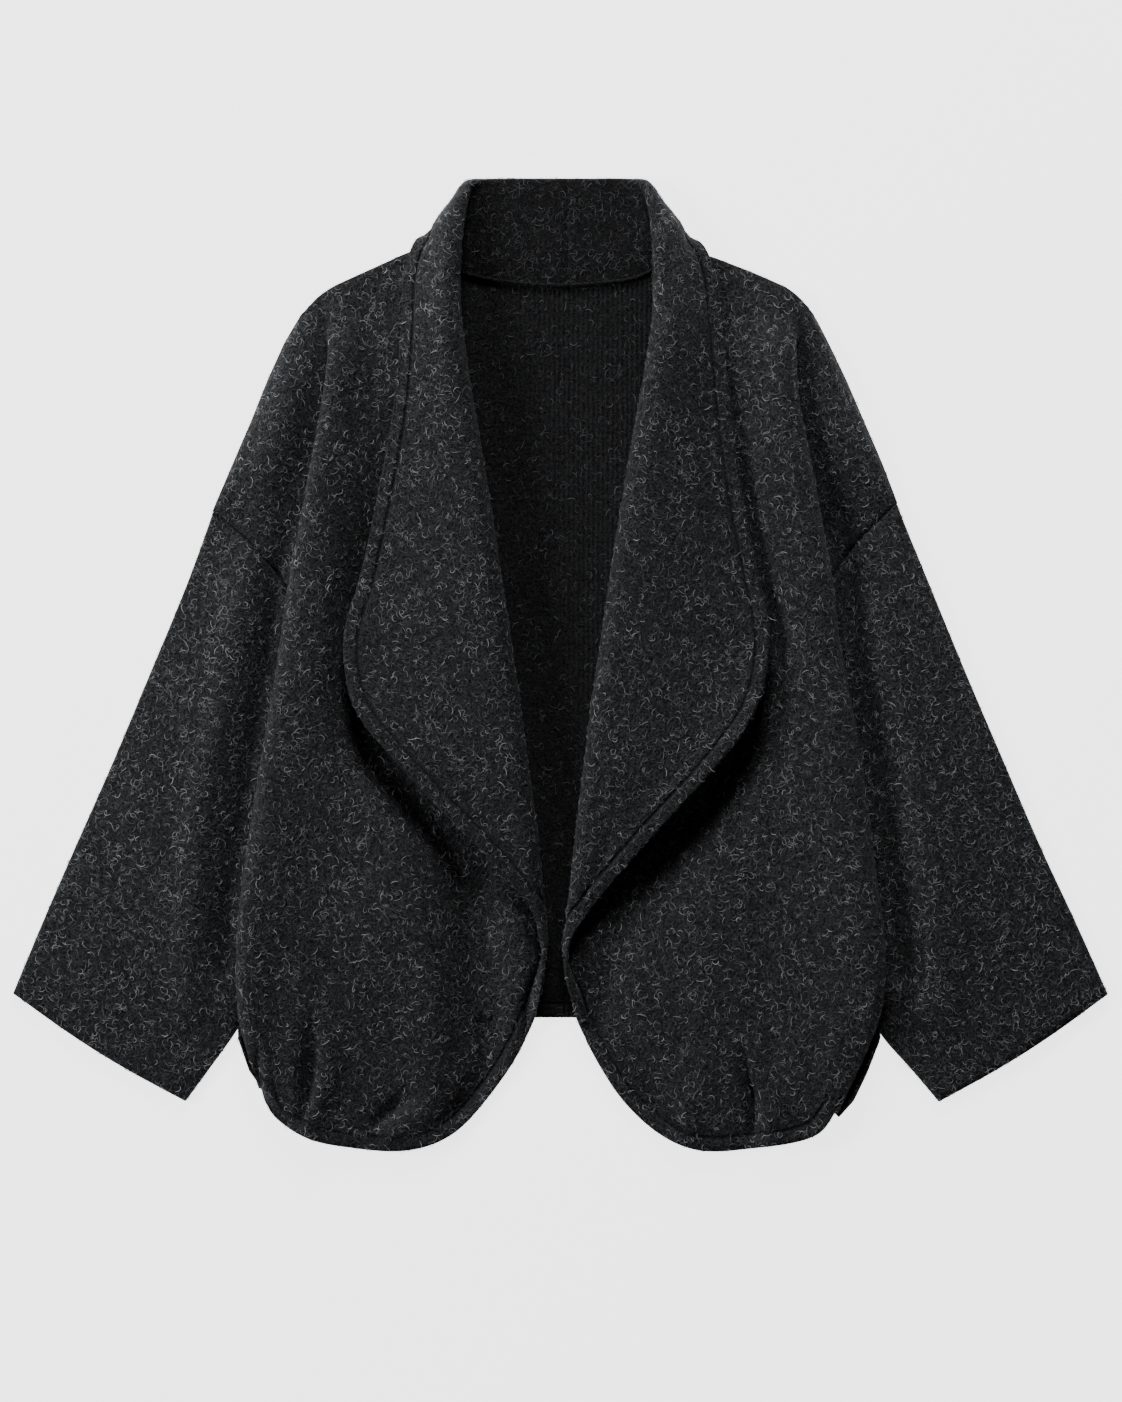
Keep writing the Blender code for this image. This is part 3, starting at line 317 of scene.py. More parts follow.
# Folds of the fronts: columns where they begin and end, then points (x, y, height, width on
# the left of the way they run, width on the right), height negative for a trough.
CREASES = {
    "right": (
        # the hollow beside the lapel, down to the corner of the hem
        (12, 25, ((-127, 188, -4, 12, 14), (-140, 110, -7, 12, 14), (-154, 49, -9, 13, 14),
                  (-160, 10, -9, 14, 13), (-153, -36, -10, 16, 18), (-134, -70, -11, 20, 26),
                  (-108, -90, -12, 24, 30), (-92, -105, -11, 26, 30), (-79, -120, -11, 26, 28),
                  (-72, -136, -10, 26, 26), (-69, -160, -9, 22, 20), (-68, -182, -8, 18, 18),
                  (-66, -213, -7.5, 15, 17), (-62, -240, -7, 14, 16), (-58, -270, -7, 13, 14),
                  (-54, -290, -7, 13, 13), (-57, -316, -6, 10, 12), (-70, -337, -5, 8, 10),
                  (-90, -354, -2, 8, 9))),
        # the crown of the panel outside that hollow
        (14, 26, ((-168, 130, 1, 13, 16), (-181, 50, 3, 12, 18), (-186, -20, 5, 12, 20),
                  (-178, -60, 7, 14, 22), (-158, -90, 8, 16, 26), (-134, -120, 10, 16, 30),
                  (-122, -140, 11, 16, 34), (-114, -160, 12, 16, 38), (-109, -185, 12, 16, 42),
                  (-103, -215, 12, 15, 44), (-96, -250, 11, 14, 42), (-92, -285, 9, 13, 36),
                  (-94, -312, 5, 11, 26))),
        # the panel stays high between that crown and the side
        (15, 27, ((-178, -120, 2, 26, 26), (-166, -160, 4, 28, 28), (-162, -205, 6, 28, 30),
                  (-158, -250, 6, 28, 28), (-156, -290, 3, 22, 22))),
        # the front edge stands up beside it
        (11, 19, ((-44, -165, 2, 14, 14), (-34, -205, 6, 14, 14), (-30, -240, 6, 13, 13),
                  (-36, -275, 4, 12, 12), (-46, -300, 1, 11, 11))),
        # tucks at the hem, each a valley with a ridge beside it
        (14, 27, ((-187, -268, 0, 5, 9), (-190, -290, -3, 5, 9), (-191, -313, -6, 4.5, 9),
                  (-193, -332, -7, 4, 9), (-196, -348, -4, 4, 8))),
        (14, 27, ((-184, -256, 1, 12, 6), (-181, -290, 4, 12, 4.5), (-181, -313, 5, 12, 4),
                  (-185, -332, 5, 11, 4), (-191, -348, 2, 9, 4))),
        (13, 26, ((-113, -329, -1, 5, 9), (-127, -344, -6, 4.5, 9), (-141, -355, -5, 4, 7))),
        (13, 26, ((-103, -333, 1, 12, 6), (-117, -349, 4, 11, 5), (-131, -359, 3, 8, 4))),
        (12, 26, ((-74, -305, 1, 6, 12), (-87, -332, 3, 6, 13), (-104, -348, 3, 6, 12),
                  (-112, -354, 1, 5, 9))),
        (20, 30, ((-233, -288, 0, 3, 5), (-232, -308, -6, 3, 5), (-230, -330, -6, 3, 5),
                  (-221, -345, -5, 3, 5), (-211, -353, -2, 3, 5))),
        # the lapel's own edge stands off
        (-1, 3, ((-152, 64, 1, 16, 16), (-166, 18, 2, 16, 16), (-160, -28, 3, 16, 16),
                 (-126, -74, 4, 16, 16), (-83, -120, 4, 16, 16), (-38, -167, 2, 14, 14))),
    ),
    "left": (
        (12, 25, ((124, 203, -3, 14, 12), (132, 157, -5, 15, 12), (140, 110, -7, 16, 12),
                  (149, 57, -8, 17, 12), (155, 18, -9, 17, 12), (150, -28, -9, 18, 12),
                  (134, -70, -8, 22, 14), (112, -105, -8, 24, 14), (90, -144, -6, 26, 14),
                  (69, -174, -5, 28, 14), (47, -205, -3.5, 24, 12), (35, -236, -3.5, 20, 10),
                  (30, -267, -2, 16, 8))),
        (13, 26, ((140, -290, 0, 3, 5), (144, -313, -4, 3, 5), (149, -332, -6, 3, 5),
                  (150.5, -361, -5, 3, 5))),
        (13, 26, ((145, -286, 1, 13, 4), (150.5, -314, 4, 14, 3.5), (156, -336, 5, 14, 3.5),
                  (158, -360, 3, 13, 3.5))),
        (12, 26, ((52, -301, -1, 6, 8), (65, -325, -4, 6, 8), (78, -344, -5, 5, 7),
                  (92, -358, -3, 4, 6))),
        (12, 26, ((66, -307, 0, 12, 5), (77, -325, 3, 13, 4.5), (88, -340, 4, 13, 4),
                  (98, -354, 3, 10, 4))),
        (18, 27, ((205, -255, 0, 9, 12), (212, -290, 2, 8, 12), (207, -322, 2, 7, 10))),
        (-1, 3, ((152, 64, 1, 16, 16), (160, 18, 3, 16, 16), (153, -28, 4, 16, 16),
                 (123, -74, 5, 16, 16), (81, -120, 5, 16, 16), (40, -167, 4, 14, 14),
                 (17, -197, 1, 12, 12))),
    ),
}
# Folds of the sleeves beside the body, shared by the shoulder above them.
SLEEVE_CREASES = {
    "right": (
        ((-206, 211, 2, 12, 14), (-223, 141, 4, 14, 16), (-244, 49, 6, 15, 16),
         (-263, -43, 6, 14, 14), (-278, -128, 6, 14, 14), (-285, -205, 5, 13, 14),
         (-287, -267, 3, 12, 14)),
        ((-208, 110, -2, 6, 7), (-217, 64, -4, 6, 7), (-231, -28, -4, 7, 8),
         (-245, -117, -4, 7, 8), (-256, -190, -4, 7, 8), (-259, -236, -4, 7, 8)),
    ),
    "left": (
        ((205, 211, 2, 22, 10), (224, 141, 4, 22, 12), (248, 49, 5, 24, 13),
         (268, -43, 5, 26, 14), (282, -128, 5, 26, 14), (290, -205, 4, 22, 13),
         (292, -267, 3, 18, 12)),
        ((209, 110, -3, 9, 7), (218, 64, -4, 12, 7), (232, -28, -4, 14, 8),
         (246, -117, -4, 14, 8), (257, -190, -4, 14, 8), (260, -236, -4, 12, 8)),
    ),
}

# ---- loose curly fibres on the cloth, in millimetres -----------------------------------
FIBRE_COUNTS = {"front": 16500, "sleeve": 10500, "back": 6000}
FIBRE_LENGTH = (3.5, 8.5)
FIBRE_TURN = (0.6, 4.6)  # turn along one, in radians
FIBRE_WIDTH = (0.12, 0.26)  # half width in the middle
FIBRE_TIP = 0.25       # width at the ends, as a share of that
FIBRE_LIFT = (0.2, 0.8)  # how far the middle stands off the cloth
FIBRE_ROOT = 0.35      # how far the ends do, as a share of that
FIBRE_TILT = 0.7       # greatest turn of a flat fibre about its own run, in radians
FIBRE_FLOOR = 0.3      # none reaches lower than this
FIBRE_POINTS = 7
FIBRE_TONE = (1.2, 2.6)  # beta distribution of their brightness
INNER_AND_SHADE_TONE = 0.3       # how bright those on the collar's stand and inside the back are, against the outer ones: painted shade, inside the back partly the cloth's own colour
FIBRE_SEED = 11
FIBRE_FACING = -0.2    # cloth that faces further down than this gets none
STITCH_CLEAR = 1.5     # none begins nearer than this to a stitched line
JOIN_CLEAR = 2.0       # or than this to a sewn seam
COVERED = 40.0         # or on cloth with something nearer than this over it
OPEN_LEAN = 0.2        # how far the line that looks for it leans the way the cloth faces

# ---- finish ------------------------------------------------------------------------------
WOOL = (0.0125, 0.013, 0.0142)
GRAIN = (0.09, 2.3)    # darkest and lightest of the fine grain, against the wool
FIBRE = (0.12, 0.125, 0.135)
# painted fibres of the back's inside, darker: partly the cloth's own colour, partly painted shade
FIBRE_INSIDE_AND_SHADE = (0.031, 0.033, 0.036)
FIBRE_SHARE = 0.3      # how far the painted fibres cover the grain
HAIR_DARK = (0.02, 0.021, 0.023)
HAIR_LIGHT = (0.36, 0.37, 0.39)
STAND_PAINTED_SHADE = 0.36      # painted shade on the inside of the collar at the back of the neck, against the outer cloth
BACK_INSIDE_AND_PAINTED_SHADE = 0.48       # inside of the back, against the outer cloth: partly its own darker colour, partly painted shade
JOIN_PAINTED_SHADE = 0.3        # painted shade at the bottom of a sewn seam
GROOVE_PAINTED_SHADE = 0.5      # painted shade along the stitched line of a turned edge
JOIN_SHADE_EDGES = (0.3, 1.8)  # distances, in millimetres, between which the painted shade of those two fades
GROOVE_EDGES = (0.4, 1.9)
# Curly fibres: scale of the noise, its level, half width of a line, shift.
CURLS = ((120.0, 0.50, 0.02, 0.0), (150.0, 0.46, 0.02, 7.0), (135.0, 0.54, 0.02, 13.0),
         (170.0, 0.5, 0.02, 21.0), (110.0, 0.42, 0.02, 29.0))
CURL_BREAKS = (1.9, 40.0, 0.5, 0.6)  # scale and shift of the noise that cuts them, its edges
# Noises as (scale, detail, shift, distortion, roughness), and how each is spread:
# from, to, lowest, highest.
MOTTLE = (14.0, 2.0, 3.0)
MOTTLE_SPREAD = (0.3, 0.7, 0.55, 1.0)
SPECKS = (620.0, 1.0, 5.0, 0.6, 0.7)
SPECKS_SPREAD = (0.3, 0.7)
CLUMPS = (160.0, 1.0, 8.0, 0.8)
CLUMPS_SPREAD = (0.25, 0.75, 0.75, 1.25)
HAIR_SPECKS = (700.0, 1.0)
HAIR_SPREAD = (0.2, 0.6, 0.6, 1.0)
FLOOR_NOISE = (3.0, 2.0)
FLOOR_SPREAD = (0.3, 0.7)
DASH_EDGES = (0.34, 0.48)  # where a stitch ends, as shares of its length from its middle
DASH_DEPTH = 0.5       # how much deeper the groove is in a stitch
RIB_SCALE = 84.0
RIB_WAVE = (1.5, 1.0, 0.3)  # distortion of the ribs, its detail and scale
STITCH_BUMP = 0.0012   # in metres, as are the next two
RIB_BUMP = 0.0006
FELT_BUMP = 0.0006
SHEEN_TINT = (0.75, 0.78, 0.82, 1)

# ---- camera, floor and light, in metres -----------------------------------------------------
CAMERA_HEIGHT = 6.0
CAMERA_FOCUS = 0.008   # height of the garment's middle, where the scale is true
CAMERA_AIM = (0.0004, -0.029)
CAMERA_SENSOR = 36.0   # in millimetres
CAMERA_REACH = 20.0
FRAME_WIDTH = 0.864
WORLD = 0.015
WORLD_COLOUR = (0.9, 0.9, 0.9, 1)
FLOOR_SIZE = 6.0       # half its width
FLOOR_DROP = 0.0002    # how far it lies below the cloth
FLOOR_COLOUR = 0.6
FLOOR_VARIES = 0.01
FLOOR_GLOW = 3.0
# Lights: name, place, width, power; all aim at the middle of the garment.
LIGHTS = (
    ("key", (0.0, 3.6, 1.75), 1.3, 172.0),
    ("side", (-3.48, 0.49, 1.95), 1.4, 158.0),
    ("fill", (3.0, 0.8, 2.6), 1.6, 7.0),
)


# ---- small geometry helpers ------------------------------------------------------------
def monotone(values, steps):
    """A table's values with `steps[i]` rows from row i to the next, with no overshoot."""
    values = np.asarray(values, float)
    slope = np.diff(values, axis=0)
    before, after = slope[:-1], slope[1:]
    same = before * after > 0
    total = np.where(same, before + after, 1.0)
    tangent = np.zeros_like(values)
    tangent[1:-1] = np.where(same, 2 * before * after / total, 0.0)
    tangent[0], tangent[-1] = slope[0], slope[-1]
    rows = []
    for i, count in enumerate(steps):
        for t in np.arange(count) / count:
            rise = t * t * (3 - 2 * t)
            rows.append(values[i] * (1 - rise) + values[i + 1] * rise
                        + tangent[i] * t * (1 - t) ** 2 + tangent[i + 1] * t * t * (t - 1))
    rows.append(values[-1])
    return np.array(rows)


def along(points, share):
    """Point at a share of a polyline's length."""
    points = np.asarray(points, float)
    steps = np.linalg.norm(np.diff(points, axis=0), axis=1)
    length = np.concatenate([[0], np.cumsum(steps)])
    return np.array([np.interp(share * length[-1], length, column) for column in points.T])


def unit(vector):
    vector = np.asarray(vector, float)
    return vector / np.linalg.norm(vector)


def mix(a, b, share):
    return np.asarray(a, float) * (1 - share) + np.asarray(b, float) * share


def at_height(plan, z):
    return np.array([plan[0], plan[1], z])


def smooth(x):
    x = min(max(x, 0.0), 1.0)
    return x * x * (3 - 2 * x)


# ---- sections of the fronts -------------------------------------------------------------
def front_sections(side):
    """Interpolated sections of one front, as dictionaries of named values."""
    plan = monotone(SECTIONS[side], FRONT_STEPS)
    height = monotone(HEIGHTS, FRONT_STEPS)
    names = SECTION_COLUMNS + HEIGHT_COLUMNS
    rows = [dict(zip(names, np.concatenate(pair))) for pair in zip(plan, height)]
    # the seams keep their corners, so they run straight from section to section
    keys = np.concatenate([[0], np.cumsum(FRONT_STEPS)])
    table = np.asarray(SECTIONS[side])
    for index, row in enumerate(rows):
        for name in ("seam_out", "seam_y"):
            row[name] = float(np.interp(index, keys, table[:, SECTION_COLUMNS.index(name)]))
    return rows


def side_fold(row):
    """Side fold in (out, z): over the edge, back in under it, and round the hidden fold."""
    turn = math.radians(row["side_deg"])
    radius = row["side_r"]
    out = row["side_out"] - HALF - radius * math.sin(min(turn, math.pi / 2))
    length = row["under"]
    pocket = POCKET_FOLD * math.pi / turn
    drop = (radius + pocket) * (1 - math.cos(turn)) + length * math.sin(turn)
    z = UPPER_LAYER + drop
    path = [(out, z)]
    for k in range(1, SIDE + 1):
        a = turn * k / SIDE
        path.append((out + radius * math.sin(a), z - radius * (1 - math.cos(a))))
    out, z = path[-1]
    path.append((out + length * math.cos(turn), z - length * math.sin(turn)))
    out, z = path[-1]
    for k in range(1, POCKET + 1):
        a = turn * (1 - k / POCKET)
        path.append((out + pocket * (math.sin(turn) - math.sin(a)),
                     z - pocket * (math.cos(a) - math.cos(turn))))
    return path


def panel_shares():
    """Shares across a front from beside the roll to the side fold."""
    under = [NECK_SHARE * k / STAND for k in range(STAND)]
    return under + [NECK_SHARE + (1 - NECK_SHARE) * k / BODY for k in range(BODY + 1)]


def panel_z(row, share, side_z):
    if share < MID_SHARE:
        return mix(row["under_z"], row["mid_z"], smooth(share / MID_SHARE))
    return mix(row["mid_z"], side_z, smooth((share - MID_SHARE) / (1 - MID_SHARE)))


def fold_height(side, share, reach):
    """Height of the folds that run up from the hem, where `reach` is 1 at the hem."""
    column = (share - NECK_SHARE) / (1 - NECK_SHARE) * BODY
    total = 0.0
    for fold in FOLDS[side]:
        centre, height, length = fold
        across = max(0.0, 1 - abs(column - centre))
        total += height * across * smooth((reach - 1 + length) / length)
    return total


def front_body(side, rows):
    """Grid of the front panel, from beside the roll to the top of the side fold."""
    shares = panel_shares()
    starts = [np.array([row["roll_out"] + edge_shift(row) + row["inset"],
                        row["roll_y"] - row["inset_drop"]]) for row in rows]
    ends = [np.array([side_fold(row)[0][0], row["side_y"]]) for row in rows]
    hem = [starts[-1], *HEM[side], ends[-1]]
    shoulder = [*SHOULDER[side], ends[0]]
    first_hem_row = sum(FRONT_STEPS[:HEM_FROM_SECTION])
    grid = []
    for index, row in enumerate(rows):
        top_weight = max(0.0, 1 - index / SHOULDER_ROWS) ** 2
        hem_reach = max(0.0, (index - first_hem_row) / (len(rows) - 1 - first_hem_row))
        side_z = side_fold(row)[0][1]
        line = []
        for share in shares:
            plan = mix(starts[index], ends[index], share)
            if share < NECK_SHARE:
                top = mix(starts[0], shoulder[0], share / NECK_SHARE)
            else:
                top = along(shoulder, (share - NECK_SHARE) / (1 - NECK_SHARE))
            plan = plan + top_weight * (top - mix(starts[0], ends[0], share))
            low = along(hem, share) - mix(starts[-1], ends[-1], share)
            plan = plan + hem_reach ** HEM_EASE * low
            z = panel_z(row, share, side_z) + fold_height(side, share, hem_reach)
            line.append(at_height(plan, z))
        grid.append(line)
    return grid


def edge_shift(row):
    """From the seen edge in to the middle of the cloth: half the wall where it is rolled."""
    return HALF * smooth((row["roll_deg"] - FLAT_DEG) / (90 - FLAT_DEG))


def lapel(row, line):
    """Lapel and roll of one section, from the outer edge to beside the panel's start."""
    start = line[0]
    inner = np.array([row["roll_out"] + edge_shift(row), row["roll_y"]])
    inward = unit(inner - start[:2])
    turn = math.radians(row["roll_deg"])
    radius = row["roll_r"]
    roll = []
    for k in range(ROLL):
        a = turn * (1 - k / ROLL)
        roll.append(at_height(start[:2] + inward * radius * math.sin(a),
                              start[2] + radius * (1 - math.cos(a))))
    top = roll[0]
    if row["roll_deg"] > FOLDED_DEG:
        outs = [p[0] for p in line]
        below = float(np.interp(row["lapel_out"], outs, [p[2] for p in line]))
        edge = np.array([row["lapel_out"], row["roll_y"], below + WALL + SEAM_GAP + row["lift"]])
    else:
        reach = row["flap"]
        if row["roll_deg"] < OPEN_DEG:
            extent = np.linalg.norm(inner - start[:2])
            reach = (extent - radius * math.sin(turn)) / math.cos(turn)
        edge = at_height(top[:2] + inward * reach * math.cos(turn), top[2] + reach * math.sin(turn))
    flap = []
    for k in range(FLAP):
        share = k / FLAP
        path = mix(edge, top, share)
        path[2] = mix(path[2], mix(edge[2], top[2], smooth(share)), FLAP_EASE)
        flap.append(path)
    return flap + roll


def yoke(row, path):
    """Side fold, then the layer under it out to the seam, arched where nothing lies on it."""
    seam = np.array([row["seam_out"], row["seam_z"]])
    points = [np.array(point) for point in path[1:]]
    points += [mix(points[-1], seam, k / YOKE) for k in range(1, YOKE + 1)]
    free = row["side_out"] + CREVICE
    line = []
    for out, z in points:
        share = (out - path[0][0]) / (row["seam_out"] - path[0][0])
        straight = mix(row["side_y"], row["seam_y"], share)
        y = mix(row["side_y"], straight, row["skew"]) + row["bow"] * math.sin(math.pi * share)
        if free < out < row["seam_out"]:
            place = (out - free) / (row["seam_out"] - free)
            z += row["arch"] * math.sin(math.pi * place) ** ARCH_POWER
        line.append(np.array([out, y, z]))
    last = line[SIDE + POCKET]
    for k in range(1, YOKE + 1):
        line[SIDE + POCKET + k][1] = mix(last[1], row["seam_y"], k / YOKE)
    return line


# ---- sections of the shawl collar --------------------------------------------------------
def stand(top, row):
    """Stand of the collar, from the roll down to the neck seam, lying on the fall."""
    neck = np.array([row["neck_out"], row["neck_y"], row["neck_z"]])
    points = []
    for share in (STAND_SHARE, row["rest"]):
        p = mix(top, neck, share)
        p[2] = max(p[2], SEAM_LAYER + STAND_LIFT) + row["bulge"]
        points.append(p)
    return points + [neck]


def hairpin(centre, outward, row):
    """Round a fold of the collar, from the side of the fall to the side of the stand."""
    tilt = math.radians(row["tilt"])
    out, up = at_height(outward, 0), at_height((0, 0), 1)
    fall_side = out * math.sin(tilt) - up * math.cos(tilt)
    bulge = out * math.cos(tilt) + up * math.sin(tilt)
    centre = at_height(centre, row["roll_top"] - row["roll_r"])
    angles = [math.pi * k / ROLL for k in range(ROLL + 1)]
    return [centre + row["roll_r"] * (fall_side * math.cos(a) + bulge * math.sin(a))
            for a in angles]


def collar_section(row):
    """One section of the collar, from the fall's edge over the fold to the neck seam."""
    roll = np.array([row["roll_out"], row["roll_y"]])
    wrap = np.array([row["wrap_out"], row["wrap_y"]])
    edge = np.array([row["edge_out"], row["edge_y"], row["edge_z"]])
    down = unit(edge[:2] - wrap)
    far = FLAP // 2
    if row["tilt"] == 0:
        turn = hairpin(wrap + down * (HALF + row["roll_r"]), -down, row)
        near = [turn[0] + at_height(down, 0) * FALL_STEP * k for k in range(far, 0, -1)]
        fall = [mix(edge, near[0], k / far) for k in range(far)] + near
        return fall + turn + stand(turn[-1], row)
    outward = unit(wrap - roll)
    turn = hairpin(roll + outward * (HALF + row["roll_r"]), outward, row)
    if row["wrap_r"] == 0:
        return [mix(edge, turn[0], k / FLAP) for k in range(FLAP)] + turn + stand(turn[-1], row)
    bend = row["wrap_r"]
    side = at_height(wrap - outward * HALF, row["wrap_z"])
    under = at_height(wrap - outward * (HALF + bend / 2) + down * bend / 2, row["wrap_z"] - bend)
    fall = [edge, mix(edge, under, 0.5), under]
    for k in range(FLAP - far):
        a = math.pi / 2 * k / (FLAP - far)
        plan = mix(turn[0], side, math.cos(a))[:2]
        fall.append(at_height(plan, mix(side[2], turn[0][2], math.sin(a))))
    return fall + turn + stand(turn[-1], row)


def collar_grid(side):
    names = COLLAR_COLUMNS + COLLAR_HEIGHT_COLUMNS
    return [collar_section(dict(zip(names, plan + height)))
            for plan, height in zip(COLLARS[side], COLLAR_HEIGHTS)]


# ---- sleeves ------------------------------------------------------------------------------
def armhole(side):
    """Points of the armhole seam, shoulder first, shared by front, back and sleeve."""
    rows = front_sections(side)
    first = sum(FRONT_STEPS[:ARMHOLE_FIRST])
    last = sum(FRONT_STEPS[:ARMHOLE_LAST])
    return np.array([(row["seam_out"], row["seam_y"]) for row in rows[first:last + 1]])


def pressed_edge(keys, name, index, turn):
    """Point of a sleeve's pressed edge in the middle of the cloth, and the way it faces."""
    points = [np.array([key[name + "_out"], key[name + "_y"]]) for key in keys]
    before, after = points[max(index - 1, 0)], points[min(index + 1, len(points) - 1)]
    run = unit(after - before)
    facing = turn * np.array([-run[1], run[0]])
    return points[index] - facing * (HALF + SLEEVE_FOLD + SEAM_GAP), facing


def sleeve_ring(side, seam, keys, index):
    """One closed section of a sleeve: lower layer, underarm fold, upper layer, outer fold."""
    steps = np.linalg.norm(np.diff(seam, axis=0), axis=1)
    shares = np.concatenate([[0], np.cumsum(steps)]) / steps.sum()
    outer, outer_facing = pressed_edge(keys, "outer", index, 1)
    inner, inner_facing = pressed_edge(keys, "inner", index, -1)
    if index == 0:
        outer_facing = unit(seam[0] - seam[1])
        outer = seam[0] - outer_facing * (HALF + SLEEVE_FOLD + SEAM_GAP)
    bend = (1 - index / (len(keys) - 1)) ** 2
    plan = [mix(outer, inner, q) + bend * (p - mix(seam[0], seam[-1], q))
            for q, p in zip(shares, seam)]
    way = unit([outer_facing[1] - inner_facing[1], inner_facing[0] - outer_facing[0]])
    plan = [p + way * CUFF_BOW * (1 - bend) * math.sin(math.pi * q) for q, p in zip(shares, plan)]
    free = uncovered(side, plan, shares)
    if index == 0:
        plan = [p + np.array(ARMHOLE_SHIFT) for p in [outer, *seam[1:-1], inner]]
    lower = [at_height(p, FLOOR_LAYER) for p in plan]
    upper = []
    for q, p in zip(shares, plan):
        arch = math.sin(math.pi * (q / free) ** DOME_LEAN) ** ARCH_POWER if q < free else 0.0
        upper.append(at_height(p, UPPER_LAYER + keys[index]["dome"] * arch))
    return lower + corner(plan[-1], inner_facing, 1) + upper[::-1] + corner(plan[0], outer_facing, -1)


def uncovered(side, plan, shares):
    """Share of a sleeve's width, from its outer edge, that lies clear of the body."""
    rows = front_sections(side)
    side_y = [-row["side_y"] for row in rows]
    side_out = [row["side_out"] for row in rows]
    clear = [p[0] - np.interp(-p[1], side_y, side_out) - CREVICE for p in plan]
    if clear[-1] >= 0 or plan[-1][1] < rows[-1]["side_y"]:
        return 1.0
    return float(np.interp(0, clear[::-1], shares[::-1]))


def corner(plan, outward, rising):
    """Points round a pressed edge of a sleeve."""
    points = []
    for k in range(1, SLEEVE_CORNER + 1):
        a = math.pi * (k / (SLEEVE_CORNER + 1) - 0.5) * rising
        points.append(at_height(plan + outward * SLEEVE_FOLD * math.cos(a),
                                FLOOR_LAYER + SLEEVE_FOLD + SLEEVE_FOLD * math.sin(a)))
    return points


# ---- fine sheets of cloth -----------------------------------------------------------------
NECK_COLUMN = FLAP + ROLL + STAND          # column of the front at the neck point
PANEL_COLUMN = FLAP + ROLL                 # first column of the front panel
SIDE_COLUMN = PANEL_COLUMN + STAND + BODY  # column at the top of the side fold
COLLAR_ROWS = len(COLLAR_HEIGHTS)
# Fine steps from each column of a front to the next, and from each row to the next.
FRONT_COLUMNS = (9, 6, 5, 5, 5, 4) + (3,) * ROLL + (4,) * STAND + (7,) * BODY \
    + (3,) * SIDE + (4,) + (2,) * POCKET + (3, 4, 4, 7)
FRONT_ROWS = (4,) * COLLAR_ROWS + (5,) * 16 + (6,) * 6 + (8,) * 4


def fine(steps):
    """Parameters of the fine lines, with `steps[k]` of them from k to k + 1."""
    return np.concatenate([k + np.arange(n) / n for k, n in enumerate(steps)] + [[len(steps)]])


def spline(count, params, closed=False):
    """Weights of `count` control points at each parameter of a cubic B-spline."""
    weights = np.zeros((len(params), count))
    for line, t in zip(weights, params):
        k = int(t) if closed else min(int(t), count - 2)
        f = t - k
        basis = ((1 - f) ** 3, 3 * f ** 3 - 6 * f ** 2 + 4,
                 -3 * f ** 3 + 3 * f ** 2 + 3 * f + 1, f ** 3)
        for j, b in zip(range(k - 1, k + 3), basis):
            if closed or 0 <= j < count:
                line[j % count] += b / 6
            elif j < 0:
                line[0] += b / 3
                line[1] -= b / 6
            else:
                line[-1] += b / 3
                line[-2] -= b / 6
    return weights


def drawn(count, params, sharpen, closed=False):
    """The same weights, with the control points moved out first so that the curve meets them."""
    at_points = spline(count, np.arange(count, dtype=float), closed)
    kept = np.eye(count) - sharpen * at_points
    return spline(count, params, closed) @ (np.eye(count) + kept - (1 - sharpen) * np.eye(count))


def refine(grid, row_params, column_params, closed=False):
    """Fine grid of points from a coarse one; `closed` rows run round a tube."""
    grid = np.asarray(grid, float)
    rows = drawn(grid.shape[0], row_params, ROW_SHARPEN)
    columns = drawn(grid.shape[1], column_params, COLUMN_SHARPEN, closed)
    return np.einsum("ai,bj,ijk->abk", rows, columns, grid)


def grid_normals(points, closed):
    """Unit normals of a grid of points."""
    if closed:
        wrapped = np.concatenate([points[:, -1:], points, points[:, :1]], axis=1)
        across = wrapped[:, 2:] - wrapped[:, :-2]
    else:
        across = np.gradient(points, axis=1)
    normal = np.cross(across, np.gradient(points, axis=0))
    return normal / np.maximum(np.linalg.norm(normal, axis=2, keepdims=True), 1e-9)


def crease(points, mask, line):
    """Raises points along a polyline: (x, y, height, width on its left, width on its right)."""
    line = np.asarray(line, float)
    best = np.full(points.shape[:2], np.inf)
    lift = np.zeros(points.shape[:2])
    for a, b in zip(line, line[1:]):
        run = b[:2] - a[:2]
        offset = points[:, :, :2] - a[:2]
        share = np.clip(offset @ run / np.linalg.norm(run) ** 2, 0, 1)
        gap = offset - share[..., None] * run
        distance = np.linalg.norm(gap, axis=2)
        side = run[0] * gap[:, :, 1] - run[1] * gap[:, :, 0]
        height, left, right = [a[k] + share * (b[k] - a[k]) for k in (2, 3, 4)]
        width = np.where(side > 0, left, right)
        near = distance < best
        best = np.where(near, distance, best)
        lift = np.where(near, height * np.exp(-(distance / width) ** 2), lift)
    points[:, :, 2] += lift * mask


def span(params, first, last, fade=1.0):
    """1 from `first` to `last`, fading out over `fade` on both sides."""
    rise = np.clip((params - first + fade) / fade, 0, 1)
    fall = np.clip((last + fade - params) / fade, 0, 1)
    share = np.minimum(rise, fall)
    return share * share * (3 - 2 * share)


def edge_distance(points, line):
    """Distance of each point to a line of edge points, and how far along the line it is."""
    run = np.concatenate([[0], np.cumsum(np.linalg.norm(np.diff(line, axis=0), axis=1))])
    flat = points.reshape(-1, 3)
    distance = np.full(len(flat), np.inf)
    place = np.zeros(len(flat))
    for a, b, start, end in zip(line, line[1:], run, run[1:]):
        step = b - a
        share = np.clip((flat - a) @ step / max(step @ step, 1e-9), 0, 1)
        gap = np.linalg.norm(flat - a - share[:, None] * step, axis=1)
        near = gap < distance
        distance = np.where(near, gap, distance)
        place = np.where(near, start + share * (end - start), place)
    return distance.reshape(points.shape[:2]), place.reshape(points.shape[:2])


